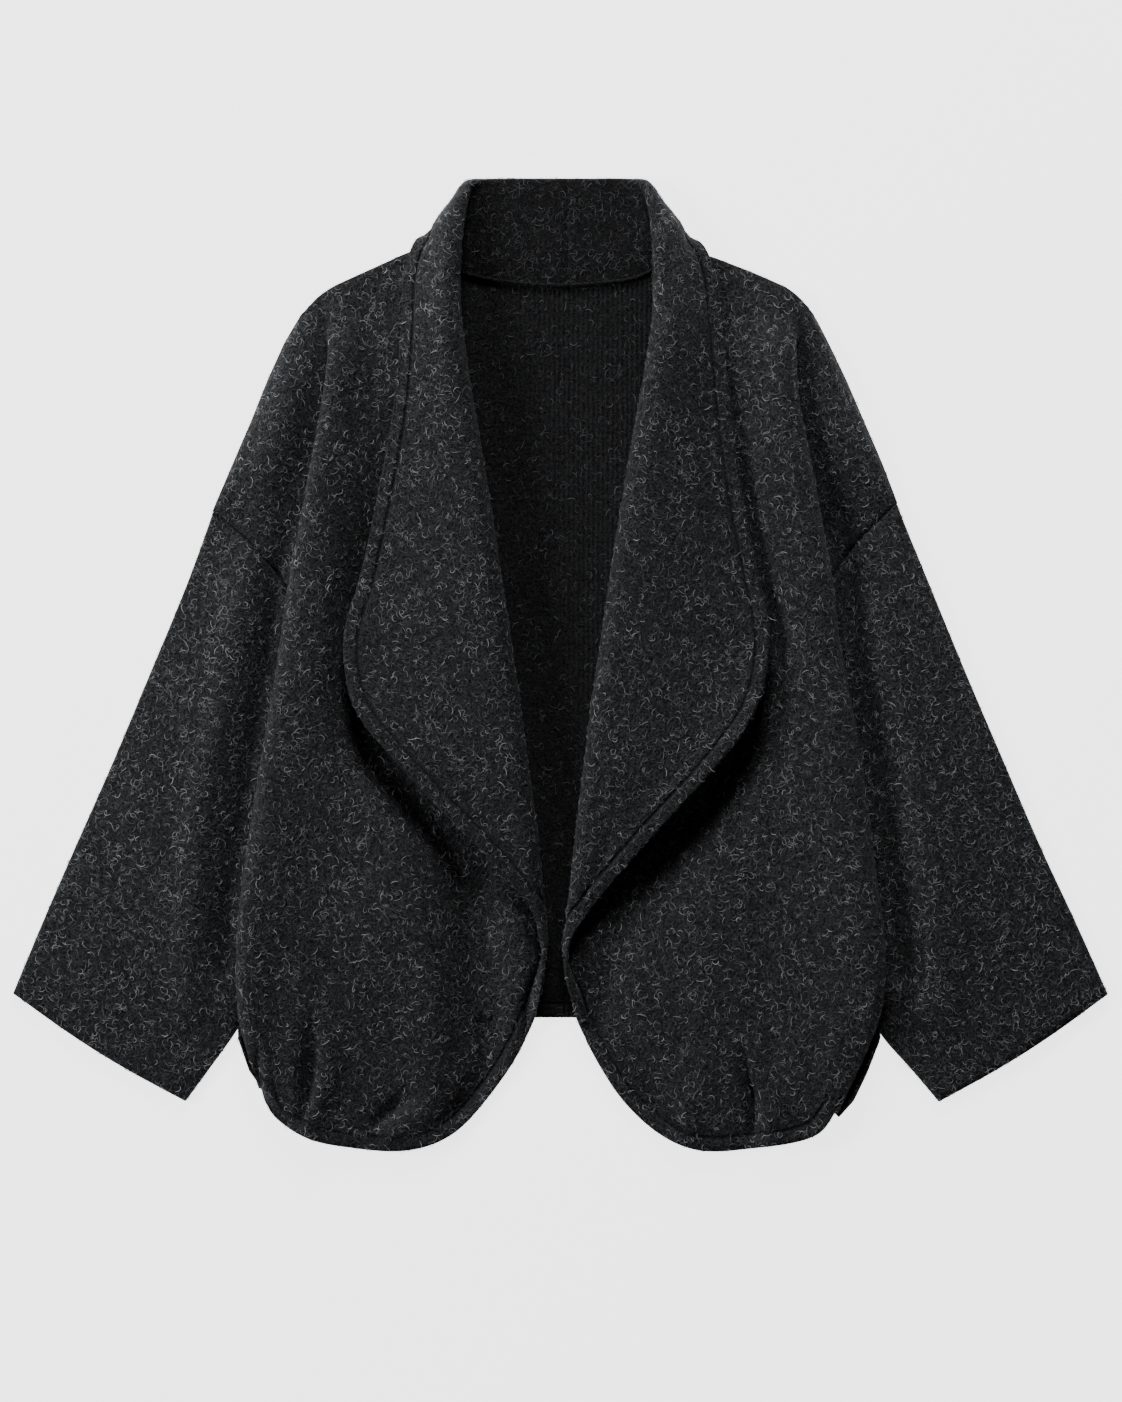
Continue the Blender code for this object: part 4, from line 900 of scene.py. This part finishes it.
def roll_in(points, line, mask):
    """Lowers the cloth where its edge is turned in at a seam."""
    distance = edge_distance(points, line)[0]
    points[:, :, 2] -= mask * SEAM_DIP * np.exp(-(distance / SEAM_WIDTH) ** 2)


def grid_faces(rows, columns, closed, keep=None):
    """Faces of a grid, as vertex numbers; `keep` says which cells are cloth."""
    index = np.arange(rows * columns).reshape(rows, columns)
    after = np.roll(index, -1, axis=1) if closed else index[:, 1:]
    before = index if closed else index[:, :-1]
    faces = np.stack([before[:-1], after[:-1], after[1:], before[1:]], axis=-1)
    return faces.reshape(-1, 4) if keep is None else faces[keep]


def shell(name, points, normals, faces, half, seam, join):
    """Closed wall of cloth round a grid of its middle, with rounded raw edges.

    `half` is half its thickness at each point. The materials read `seam` (distance from the
    turned edge, place along it, share of painted shade: the collar's stand, and the inside of
    the back, which is partly its own darker colour) and `join` (distance from a sewn seam,
    which gets painted shade).
    """
    used = np.unique(faces)
    renumber = np.full(points.shape[0] * points.shape[1], -1)
    renumber[used] = np.arange(len(used))
    points, normals, seam = [grid.reshape(-1, 3)[used] for grid in (points, normals, seam)]
    half, join = half.ravel()[used], join.ravel()[used]
    faces = renumber[faces]
    count = len(points)
    edges = np.concatenate([faces[:, [k, (k + 1) % 4]] for k in range(4)])
    known = {(a, b) for a, b in edges.tolist()}
    border = [(a, b) for a, b in edges.tolist() if (b, a) not in known]
    outward = np.zeros_like(points)
    for a, b in border:
        way = np.cross(points[b] - points[a], normals[a] + normals[b])
        outward[a] += way
        outward[b] += way
    rim = sorted({a for a, b in border})
    number = {a: 2 * count + k for k, a in enumerate(rim)}
    outward = outward[rim] / np.maximum(np.linalg.norm(outward[rim], axis=1, keepdims=True), 1e-9)
    vertices = np.concatenate([points + normals * half[:, None], points - normals * half[:, None],
                               points[rim] + outward * RIM])
    quads = faces.tolist() + (faces[:, ::-1] + count).tolist()
    for a, b in border:
        quads.append((b, a, number[a], number[b]))
        quads.append((a + count, b + count, number[b], number[a]))
    piece = new_piece(name, vertices, quads)
    layer = piece.data.attributes.new("seam", "FLOAT_VECTOR", "POINT")
    layer.data.foreach_set("vector", np.concatenate([seam, seam, seam[rim]]).ravel())
    layer = piece.data.attributes.new("join", "FLOAT", "POINT")
    layer.data.foreach_set("value", np.concatenate([join, join, join[rim]]))
    return piece


def new_piece(name, vertices, faces):
    """Smooth object from vertices in millimetres."""
    mesh = bpy.data.meshes.new(name)
    mesh.from_pydata(vertices * MM, [], faces)
    mesh.shade_smooth()
    mesh.update()
    return placed(name, mesh)


def placed(name, data):
    """Object for a mesh, light or camera, linked to the scene."""
    thing = bpy.data.objects.new(name, data)
    bpy.context.scene.collection.objects.link(thing)
    return thing


def flipped(side, points):
    """From distances off the centre line to positions across the garment."""
    return points * np.array([-1.0 if side == "right" else 1.0, 1.0, 1.0])


def front_grid(side):
    """Coarse grid of one front: the collar's sections, then lapel and panel below them."""
    rows = front_sections(side)
    grid = [list(line) for line in collar_grid(side)]
    for row, line in zip(rows, front_body(side, rows)):
        grid.append(lapel(row, line) + line + yoke(row, side_fold(row)))
    width = len(grid[-1])
    for line in grid[:COLLAR_ROWS]:
        step = line[-1] - line[-2]
        line += [line[-1] + step * k for k in range(1, width - len(line) + 1)]
    # beyond the neck point the rows above the shoulder only steer the curves below it
    for back in range(1, COLLAR_ROWS + 1):
        for k in range(NECK_COLUMN + (1 if back == 1 else 2), width):
            step = grid[COLLAR_ROWS][k] - grid[COLLAR_ROWS + 1][k]
            grid[COLLAR_ROWS - back][k] = grid[COLLAR_ROWS][k] + step * back
    return grid


def front_surface(side, columns, lines):
    """Middle of one front's cloth with its folds, and its distance from the armhole seam."""
    coarse = front_grid(side)
    width = len(coarse[-1])
    body = lines >= COLLAR_ROWS
    points = refine(coarse, lines, columns)
    # the outer edge keeps to the seam line, and the cloth beside it follows
    edge = np.array([line[-1] for line in coarse])
    true_edge = np.stack([np.interp(lines, np.arange(len(coarse)), axis) for axis in edge.T], axis=1)
    drift = (true_edge - points[:, -1]) * body[:, None]
    points += drift[:, None] * span(columns, width - 1, width, YOKE)[None, :, None]
    points = flipped(side, points)
    for first, last, line in CREASES[side]:
        crease(points, span(columns, first, last)[None, :], line)
    beside = (span(columns, width - YOKE, width)[None, :]
              * span(lines, COLLAR_ROWS + 2, len(coarse), SHOULDER_FADE)[:, None])
    for line in SLEEVE_CREASES[side]:
        crease(points, beside, line)
    sewn = (columns >= SIDE_COLUMN + SIDE + 1)[None, :] & body[:, None]
    roll_in(points, points[body, -1].copy(), sewn)
    # the panel stays clear of the back under it
    panel = ((columns >= PANEL_COLUMN) & (columns <= SIDE_COLUMN))[None, :] & body[:, None]
    over_back = panel & (points[..., 1] > -BACK_LENGTH)
    points[..., 2] = np.maximum(points[..., 2], np.where(over_back, SEAM_LAYER, FLOOR_LAYER))
    return points, np.where(sewn, edge_distance(points, points[body, -1])[0], FAR)


def band_distance(points, columns, lines):
    """Distance from the turned edge down the front and round its hem, and place along it."""
    edge = points[:, 0]
    distance, place = edge_distance(points, edge)
    hem = points[-1, (columns > 0) & (columns <= SIDE_COLUMN + 2)]
    hem_distance, hem_place = edge_distance(points, np.concatenate([edge, hem]))
    low = (lines >= COLLAR_ROWS + HEM_BAND_ROW)[:, None] & (columns <= SIDE_COLUMN + 1)[None, :]
    distance = np.where(low, hem_distance, np.where(columns[None, :] <= FLAP + 2, distance, FAR))
    return distance, np.where(low, hem_place, place)


def felt_front(side):
    """Front panel with its lapel and its half of the collar, as one sheet."""
    columns, lines = fine(FRONT_COLUMNS), fine(FRONT_ROWS)
    points, join = front_surface(side, columns, lines)
    normals = grid_normals(points, False) * (1 if side == "right" else -1)
    distance, place = band_distance(points, columns, lines)
    half = HALF * (1 + BAND_RISE * np.clip((BAND_END - distance) / BAND_FADE, 0, 1)
                   - BAND_GROOVE * np.exp(-((distance - BAND) / GROOVE_WIDTH) ** 2))
    # the collar's stand gets painted shade through this share
    stand_painted_shade = np.clip(columns - (FLAP + ROLL / 2), 0, 1)[None, :] * (lines < COLLAR_ROWS)[:, None]
    cloth = (lines[:-1, None] >= COLLAR_ROWS) | (columns[None, 1:] <= NECK_COLUMN)
    faces = grid_faces(len(lines), len(columns), False, cloth)
    if side == "left":
        faces = faces[:, ::-1]
    return shell(f"felted_front_{side}", points, normals, faces, half,
                 np.stack([distance, place, stand_painted_shade], axis=-1), join)


def felt_sleeve(side):
    """Sleeve pressed flat: a tube of two layers, open at armhole and cuff."""
    seam_line = armhole(side)
    table = monotone(SLEEVES[side], SLEEVE_STEPS)
    keys = [dict(zip(SLEEVE_COLUMNS, key)) for key in table]
    rings = [sleeve_ring(side, seam_line, keys, index) for index in range(len(keys))]
    layer = len(seam_line)
    around = (SLEEVE_FINE,) * (layer - 1) + (SLEEVE_EDGE_FINE,) * (SLEEVE_CORNER + 1)
    down = SLEEVE_TOP_FINE + (SLEEVE_DOWN_FINE,) * (len(rings) - 1 - len(SLEEVE_TOP_FINE))
    columns, lines = fine(around * 2)[:-1], fine(down)
    points = flipped(side, refine(rings, lines, columns, closed=True))
    upper = span(columns, layer + SLEEVE_CORNER, 2 * layer + SLEEVE_CORNER - 1)
    arch = np.maximum(points[..., 2] - UPPER_LAYER, 0)
    points[..., 2] -= arch * (1 - SLEEVE_FLAT) * np.clip(lines / SLEEVE_FLAT_RING, 0, 1)[:, None]
    for line in SLEEVE_CREASES[side]:
        crease(points, upper[None, :], line)
    on_top = upper[None, :] > 0.5
    points[..., 2] = np.where(on_top, np.maximum(points[..., 2], SEAM_LAYER), points[..., 2])
    roll_in(points, points[0].copy(), on_top & (lines < SLEEVE_SEAM_RING)[:, None])
    points[..., 2] = np.maximum(points[..., 2], FLOOR_LAYER)
    normals = grid_normals(points, True) * (-1 if side == "right" else 1)
    faces = grid_faces(len(lines), len(columns), True)
    if side == "right":
        faces = faces[:, ::-1]
    return shell(f"felted_sleeve_{side}", points, normals, faces, np.full(points.shape[:2], HALF),
                 np.zeros_like(points) + [FAR, 0.0, 0.0], edge_distance(points, points[0])[0])


def neck_seam(side):
    """Points of the seam between back and collar, centre back first."""
    out, y = COLLAR_COLUMNS.index("neck_out"), COLLAR_COLUMNS.index("neck_y")
    return [(row[out], row[y]) for row in COLLARS[side]]


def resampled(line, count):
    return np.array([along(line, k / (count - 1)) for k in range(count)])


def back_outline(side):
    """Half of the back's outline: its top from the neck out, its side down, its hem in."""
    neck = [(x, y - NECK_GAP) for x, y in neck_seam(side)[1:]]
    shoulder = list(SHOULDER[side])
    shoulder[0] = (shoulder[0][0], shoulder[0][1] - NECK_GAP)
    seams = [(row["seam_out"], row["seam_y"]) for row in front_sections(side)]
    sign = -1 if side == "right" else 1
    corner_point = BACK_CORNER[side]
    edge = [p for p in seams if p[1] > BACK_SEAM_END] + list(BACK_HEM[side][:corner_point])
    top = [(sign * x, y) for x, y in neck + shoulder + seams[:1]]
    outer = [(sign * (x + np.interp(-y, *zip(*BACK_OUT[side]))), y) for x, y in edge]
    hem = [(sign * x, y) for x, y in BACK_HEM[side][corner_point - 1:]]
    return top, outer, hem


def felt_back():
    """Back panel as a sheet stretched between its neck, sides and hem."""
    across, down = BACK_FINE
    right_top, right_side, right_hem = back_outline("right")
    left_top, left_side, left_hem = back_outline("left")
    centre = [(0.0, neck_seam("left")[0][1] - NECK_GAP)]
    top = resampled(right_top[::-1] + centre + left_top, across)
    low = resampled(right_hem + left_hem[::-1], across)
    u = np.linspace(0, 1, across)[None, :, None]
    v = np.linspace(0, 1, down)[:, None, None]
    plan = mix(resampled(right_side, down)[:, None], resampled(left_side, down)[:, None], u)
    plan = plan + (top - mix(top[:1], top[-1:], u[0])) * (1 - v) ** BACK_EASE
    plan = plan + (low - mix(low[:1], low[-1:], u[0])) * v ** BACK_EASE
    points = np.concatenate([plan, np.full(plan.shape[:2] + (1,), FLOOR_LAYER)], axis=2)
    low_side = np.clip((BACK_LIFT_FROM - points[..., 1]) / BACK_LIFT_FADE, 0, 1)
    for edge in (points[:, 0].copy(), points[:, -1].copy()):
        gap = edge_distance(points, edge)[0]
        points[..., 2] += low_side * BACK_LIFT * np.exp(-(gap / BACK_LIFT_WIDTH) ** 2)
    distance, place = edge_distance(points, points[-1])
    # the middle of the back, seen between the fronts, is darker: partly its own colour, partly painted
    # shade
    inner = np.clip((SHADED_INSIDE_OUT - np.abs(points[..., 0])) / SHADED_INSIDE_FADE, 0, 1)
    return shell("felted_back", points, -grid_normals(points, False),
                 grid_faces(down, across, False)[:, ::-1],
                 np.full(points.shape[:2], HALF - BACK_THINNER),
                 np.stack([distance, place, inner], axis=-1), np.full(points.shape[:2], FAR))


def neck_tape():
    """Corded tape over the back neck seam: two strands twisted round each other."""
    right = [(-x, y) for x, y in neck_seam("right")[1:NECK_TAPE_SECTIONS]]
    left = neck_seam("left")[1:NECK_TAPE_SECTIONS]
    line = np.array(right[::-1] + [(0.0, neck_seam("left")[0][1])] + left)
    plan = spline(len(line), fine((TAPE_FINE,) * (len(line) - 1))) @ line
    run = np.concatenate([[0], np.cumsum(np.linalg.norm(np.diff(plan, axis=0), axis=1))])
    way = np.gradient(plan, axis=0)
    way /= np.linalg.norm(way, axis=1, keepdims=True)
    up = np.array([0.0, 0.0, 1.0])
    z = WALL + SEAM_GAP + NECK_TAPE_R + NECK_TAPE_LIFT
    points = []
    for p, (run_x, run_y), length in zip(plan, way, run):
        beside = np.array([run_y, -run_x, 0.0])
        for k in range(TAPE_ROUND):
            a = 2 * math.pi * k / TAPE_ROUND
            twist = math.cos(2 * a - 2 * math.pi * length / TAPE_TWIST)
            radius = NECK_TAPE_R * (1 + TAPE_STRAND * (twist - 1))
            points.append(at_height(p, z) + radius * (beside * math.cos(a) + up * math.sin(a)))
    count = len(points)
    faces = grid_faces(len(plan), TAPE_ROUND, True).tolist()
    faces += [list(range(TAPE_ROUND)), list(range(count - 1, count - TAPE_ROUND - 1, -1))]
    return new_piece("corded_neck_tape", np.array(points), faces)


# ---- loose fibres ---------------------------------------------------------------------------
def mesh_arrays(piece):
    """Vertices of a piece, its four-sided faces, and their corners, normals and areas."""
    mesh = piece.data
    co = np.zeros(len(mesh.vertices) * 3)
    mesh.vertices.foreach_get("co", co)
    co = co.reshape(-1, 3)
    faces = np.array([f.vertices[:] for f in mesh.polygons if len(f.vertices) == 4])
    corners = co[faces]
    cross = np.cross(corners[:, 2] - corners[:, 0], corners[:, 3] - corners[:, 1])
    area = np.linalg.norm(cross, axis=1) / 2
    return co, faces, corners, cross / np.maximum(2 * area, 1e-15)[:, None], area


def read_attribute(piece, name, field, size):
    """Values of a point attribute, one row for each vertex."""
    values = np.zeros(len(piece.data.vertices) * size)
    piece.data.attributes[name].data.foreach_get(field, values)
    return values.reshape(-1, size)


def fibre_roots(piece, count, random, tree):
    """Where fibres grow: points of the open cloth, the way it faces and its share of painted shade, on
    the collar's stand and inside the back, where it is partly the cloth's own colour.
    """
    quads, corners, normals, area = mesh_arrays(piece)[1:]
    edge, inner = read_attribute(piece, "seam", "vector", 3)[quads[:, 0]].T[[0, 2]]
    join = read_attribute(piece, "join", "value", 1)[quads[:, 0], 0]
    clear = (np.abs(edge - BAND) > STITCH_CLEAR) & (join > JOIN_CLEAR)
    weight = np.where((normals[:, 2] > FIBRE_FACING) & clear, area, 0)
    pick = random.choice(len(area), size=count, p=weight / weight.sum())
    u, v = random.random((2, count, 1))
    quad, up = corners[pick], normals[pick]
    place = (quad[:, 0] * (1 - u) + quad[:, 1] * u) * (1 - v) \
        + (quad[:, 3] * (1 - u) + quad[:, 2] * u) * v
    sky = np.array([0.0, 0.0, 1.0])
    open_air = [tree.ray_cast(Vector(p + (n + sky) * MM), Vector(OPEN_LEAN * n + sky),
                              COVERED * MM)[0] is None for p, n in zip(place, up)]
    return place[open_air], up[open_air], inner[pick][open_air]


def loose_fibres(piece, count, seed, tree, material):
    """Short curled hairs standing just off the uncovered cloth of a piece, as one mesh."""
    random = np.random.default_rng(seed)
    place, up, inner = fibre_roots(piece, count, random, tree)
    count = len(place)
    first = np.cross(up, random.normal(size=(count, 3)))
    first /= np.linalg.norm(first, axis=1, keepdims=True)
    second = np.cross(up, first)
    length = random.uniform(*FIBRE_LENGTH, count) * MM
    turn = random.uniform(*FIBRE_TURN, count) * random.choice([-1, 1], count)
    wave = random.uniform(-1.0, 1.0, count)
    share = np.linspace(0, 1, FIBRE_POINTS)
    hump = np.sin(math.pi * share)
    heading = turn[:, None] * (share - 0.5) * (1 + wave[:, None] * (share - 0.5))
    step = length[:, None] / (FIBRE_POINTS - 1)
    along_x = np.cumsum(np.cos(heading) * step, axis=1)
    along_y = np.cumsum(np.sin(heading) * step, axis=1)
    along_x -= along_x.mean(axis=1, keepdims=True)
    along_y -= along_y.mean(axis=1, keepdims=True)
    lift = random.uniform(*FIBRE_LIFT, count)[:, None] * MM * (FIBRE_ROOT + hump * (1 - FIBRE_ROOT))
    line = (place[:, None] + first[:, None] * along_x[..., None] + second[:, None] * along_y[..., None]
            + up[:, None] * lift[..., None])
    beside = np.cross(up[:, None], np.gradient(line, axis=1))
    beside /= np.linalg.norm(beside, axis=2, keepdims=True)
    tilt = random.uniform(-FIBRE_TILT, FIBRE_TILT, count)[:, None, None]
    beside = beside * np.cos(tilt) + up[:, None] * np.sin(tilt)
    width = random.uniform(*FIBRE_WIDTH, count)[:, None, None] * MM
    width = width * (FIBRE_TIP + (1 - FIBRE_TIP) * np.maximum(hump, 0)[None, :, None] ** 0.5)
    points = np.stack([line + beside * width, line - beside * width], axis=2)
    points[..., 2] = np.maximum(points[..., 2], FIBRE_FLOOR * MM)
    index = np.arange(count * FIBRE_POINTS * 2).reshape(count, FIBRE_POINTS, 2)
    faces = np.stack([index[:, :-1, 0], index[:, :-1, 1], index[:, 1:, 1], index[:, 1:, 0]], axis=-1)
    hairs = new_piece(f"{piece.name}_fibres", points.reshape(-1, 3) / MM, faces.reshape(-1, 4).tolist())
    tone = hairs.data.attributes.new("tone", "FLOAT", "POINT")
    # fibres under that share are darker: painted shade on the collar's stand, and inside the back
    # partly the cloth's own colour
    shade = random.beta(*FIBRE_TONE, count) * (1 - (1 - INNER_AND_SHADE_TONE) * inner)
    tone.data.foreach_set("value", np.repeat(shade, FIBRE_POINTS * 2))
    hairs.data.materials.append(material)
    return hairs


# ---- materials ------------------------------------------------------------------------------
class Nodes:
    """Short names for the nodes of one material."""

    def __init__(self, name):
        self.material = bpy.data.materials.new(name)
        self.material.use_nodes = True
        self.tree = self.material.node_tree
        self.shader = self.tree.nodes["Principled BSDF"]
        self.place = self.tree.nodes.new("ShaderNodeTexCoord").outputs["Object"]

    def put(self, socket, value):
        if isinstance(value, bpy.types.NodeSocket):
            self.tree.links.new(value, socket)
        else:
            socket.default_value = value

    def math(self, operation, a, b=0.0, c=0.0):
        node = self.tree.nodes.new("ShaderNodeMath")
        node.operation = operation
        for socket, value in zip(node.inputs, (a, b, c)):
            self.put(socket, value)
        return node.outputs[0]

    def ramp(self, value, start, end, low=0.0, high=1.0):
        node = self.tree.nodes.new("ShaderNodeMapRange")
        node.interpolation_type = "SMOOTHSTEP"
        for name, v in (("Value", value), ("From Min", start), ("From Max", end),
                        ("To Min", low), ("To Max", high)):
            self.put(node.inputs[name], v)
        return node.outputs[0]

    def noise(self, scale, detail=0.0, shift=0.0, distortion=0.0, roughness=0.5):
        node = self.tree.nodes.new("ShaderNodeTexNoise")
        node.noise_dimensions = "4D"
        node.normalize = True
        self.put(node.inputs["Vector"], self.place)
        for name, v in (("W", shift), ("Scale", scale), ("Detail", detail),
                        ("Roughness", roughness), ("Distortion", distortion)):
            node.inputs[name].default_value = v
        return node.outputs["Fac"]

    def blend(self, share, a, b):
        node = self.tree.nodes.new("ShaderNodeMix")
        node.data_type = "RGBA"
        self.put(node.inputs["Factor"], share)
        self.put(node.inputs[6], a)
        self.put(node.inputs[7], b)
        return node.outputs[2]

    def bump(self, height, distance, below=None):
        node = self.tree.nodes.new("ShaderNodeBump")
        node.inputs["Distance"].default_value = distance
        self.put(node.inputs["Height"], height)
        if below is not None:
            self.put(node.inputs["Normal"], below)
        return node.outputs[0]

    def attribute(self, name):
        node = self.tree.nodes.new("ShaderNodeAttribute")
        node.attribute_name = name
        return node.outputs


def curls(nodes):
    """Painted curly fibres: short arcs cut from the level lines of soft noises."""
    finer, away, begin, end = CURL_BREAKS
    total = 0.0
    for scale, level, width, shift in CURLS:
        line = nodes.math("ABSOLUTE", nodes.math("SUBTRACT", nodes.noise(scale, 0.0, shift), level))
        line = nodes.ramp(line, 0.0, width, 1.0, 0.0)
        piece = nodes.ramp(nodes.noise(scale * finer, 0.0, shift + away), begin, end)
        total = nodes.math("MAXIMUM", total, nodes.math("MULTIPLY", line, piece))
    return total


def felt(name, dark, light, inside_and_shade_dark, ribbed=False):
    """Felted wool with painted shade on the collar's stand, in sewn seams and along the stitching of
    turned edges, and darker inside, partly its own colour and partly painted shade.
    """
    nodes = Nodes(name)
    fibres = curls(nodes)
    mottle = nodes.ramp(nodes.noise(*MOTTLE), *MOTTLE_SPREAD)
    grain = nodes.ramp(nodes.noise(*SPECKS), *SPECKS_SPREAD)
    clumps = nodes.ramp(nodes.noise(*CLUMPS), *CLUMPS_SPREAD)
    shade = nodes.math("MULTIPLY", grain, clumps)
    base = nodes.blend(shade, *[(*[c * share for c in dark], 1) for share in GRAIN])
    bright = nodes.math("MULTIPLY", fibres, mottle)
    colour = nodes.blend(nodes.math("MULTIPLY", bright, FIBRE_SHARE), base, (*light, 1))
    part = nodes.tree.nodes.new("ShaderNodeSeparateXYZ")
    nodes.put(part.inputs[0], nodes.attribute("seam")["Vector"])
    off_stitching = nodes.math("ABSOLUTE", nodes.math("SUBTRACT", part.outputs[0], BAND))
    groove = nodes.ramp(off_stitching, *GROOVE_EDGES, 1.0, 0.0)
    # painted shade: the stand or inside share, the bottom of sewn seams and the stitched groove; inside
    # the back partly the cloth's own colour
    inside_and_painted_shade = nodes.math("MULTIPLY", nodes.ramp(part.outputs[2], 0.0, 1.0, 1.0, inside_and_shade_dark),
                      nodes.ramp(nodes.attribute("join")["Fac"], *JOIN_SHADE_EDGES, JOIN_PAINTED_SHADE, 1.0))
    inside_and_painted_shade = nodes.math("MULTIPLY", inside_and_painted_shade, nodes.ramp(groove, 0.0, 1.0, 1.0, GROOVE_PAINTED_SHADE))
    nodes.put(nodes.shader.inputs["Base Color"], nodes.blend(inside_and_painted_shade, (0, 0, 0, 1), colour))
    for socket, value in (("Roughness", 0.92), ("Specular IOR Level", 0.15), ("Sheen Weight", 0.06),
                          ("Sheen Roughness", 0.5), ("Sheen Tint", SHEEN_TINT)):
        nodes.put(nodes.shader.inputs[socket], value)
    # relief: the stitching, the ribs of the inside, then grain and fibres
    dash = nodes.math("FRACT", nodes.math("DIVIDE", part.outputs[1], STITCH))
    dash = nodes.ramp(nodes.math("ABSOLUTE", nodes.math("SUBTRACT", dash, 0.5)), *DASH_EDGES, 1.0, 0.0)
    depth = nodes.math("ADD", 1.0, nodes.math("MULTIPLY", dash, DASH_DEPTH))
    low = nodes.bump(nodes.math("MULTIPLY", nodes.math("MULTIPLY", groove, depth), -1.0), STITCH_BUMP)
    if ribbed:
        low = nodes.bump(ribs(nodes), RIB_BUMP, low)
    height = nodes.math("ADD", nodes.math("MULTIPLY", fibres, 0.5), shade)
    nodes.put(nodes.shader.inputs["Normal"], nodes.bump(height, FELT_BUMP, low))
    return nodes.material


def ribs(nodes):
    """Slightly wavering ribs that run down the cloth."""
    wave = nodes.tree.nodes.new("ShaderNodeTexWave")
    wave.wave_type = "BANDS"
    wave.bands_direction = "X"
    nodes.put(wave.inputs["Vector"], nodes.place)
    for name, v in zip(("Scale", "Distortion", "Detail", "Detail Scale"), (RIB_SCALE, *RIB_WAVE)):
        wave.inputs[name].default_value = v
    return wave.outputs["Fac"]


def fibre_material():
    nodes = Nodes("loose_wool_fibres")
    specks = nodes.ramp(nodes.noise(*HAIR_SPECKS), *HAIR_SPREAD)
    share = nodes.math("MULTIPLY", nodes.attribute("tone")["Fac"], specks)
    nodes.put(nodes.shader.inputs["Base Color"], nodes.blend(share, (*HAIR_DARK, 1), (*HAIR_LIGHT, 1)))
    nodes.put(nodes.shader.inputs["Roughness"], 0.8)
    nodes.put(nodes.shader.inputs["Specular IOR Level"], 0.2)
    return nodes.material


# ---- the scene --------------------------------------------------------------------------------
def dress(piece, material, node):
    piece.data.materials.append(material)
    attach(piece, "root")
    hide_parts(node)
    return piece, node


def add_fibres(clothes):
    """Loose fibres on each piece of cloth, except where another layer lies over it."""
    material = fibre_material()
    vertices, faces, count = [], [], 0
    for piece, node in clothes:
        co, quads = mesh_arrays(piece)[:2]
        vertices.append(co)
        faces += (quads + count).tolist()
        count += len(co)
    tree = BVHTree.FromPolygons(np.concatenate(vertices).tolist(), faces)
    for number, (piece, node) in enumerate(clothes):
        wanted = FIBRE_COUNTS[piece.name.split("_")[1]]
        hairs = loose_fibres(piece, wanted, FIBRE_SEED + number, tree, material)
        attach(hairs, "root")


def make_floor():
    mesh = bpy.data.meshes.new("floor")
    corners = [(x * FLOOR_SIZE, y * FLOOR_SIZE, 0) for x, y in ((-1, -1), (1, -1), (1, 1), (-1, 1))]
    mesh.from_pydata(corners, [], [(0, 1, 2, 3)])
    floor = placed("floor", mesh)
    floor.location.z = -FLOOR_DROP
    nodes = Nodes("pale_floor")
    tints = [(FLOOR_COLOUR * share,) * 3 + (1,) for share in (1 - FLOOR_VARIES, 1 + FLOOR_VARIES)]
    colour = nodes.blend(nodes.ramp(nodes.noise(*FLOOR_NOISE), *FLOOR_SPREAD), *tints)
    for socket, value in (("Base Color", colour), ("Roughness", 0.9),
                          ("Emission Color", (1, 1, 1, 1)), ("Emission Strength", FLOOR_GLOW)):
        nodes.put(nodes.shader.inputs[socket], value)
    mesh.materials.append(nodes.material)


def make_world():
    world = bpy.data.worlds.new("studio")
    bpy.context.scene.world = world
    world.use_nodes = True
    background = world.node_tree.nodes["Background"]
    background.inputs["Color"].default_value = WORLD_COLOUR
    background.inputs["Strength"].default_value = WORLD


def make_light(name, place, size, power):
    data = bpy.data.lights.new(name, "AREA")
    data.shape = "SQUARE"
    data.size = size
    data.energy = power
    light = placed(name, data)
    light.location = place
    light.rotation_euler = (-light.location).to_track_quat("-Z", "Y").to_euler()


def make_camera():
    data = bpy.data.cameras.new("camera")
    data.sensor_fit = "HORIZONTAL"
    data.sensor_width = CAMERA_SENSOR
    data.lens = CAMERA_SENSOR * CAMERA_HEIGHT / FRAME_WIDTH
    data.clip_end = CAMERA_REACH
    camera = placed("camera", data)
    camera.location = (*CAMERA_AIM, CAMERA_HEIGHT + CAMERA_FOCUS)
    bpy.context.scene.camera = camera


def main():
    make_camera()
    make_floor()
    make_world()
    for light in LIGHTS:
        make_light(*light)
    wool = felt("charcoal_felted_wool", WOOL, FIBRE, STAND_PAINTED_SHADE)
    inner = felt("charcoal_ribbed_back", WOOL, FIBRE_INSIDE_AND_SHADE, BACK_INSIDE_AND_PAINTED_SHADE, ribbed=True)
    clothes = [dress(felt_back(), inner, "back")]
    tape = neck_tape()
    tape.data.materials.append(wool)
    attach(tape, "root")
    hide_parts("back_neck_tape")
    for side in ("right", "left"):
        front, sleeve = f"front_with_shawl_collar_{side}", f"sleeve_{side}"
        clothes.append(dress(felt_front(side), wool, front))
        clothes.append(dress(felt_sleeve(side), wool, sleeve))
    add_fibres(clothes)


main()
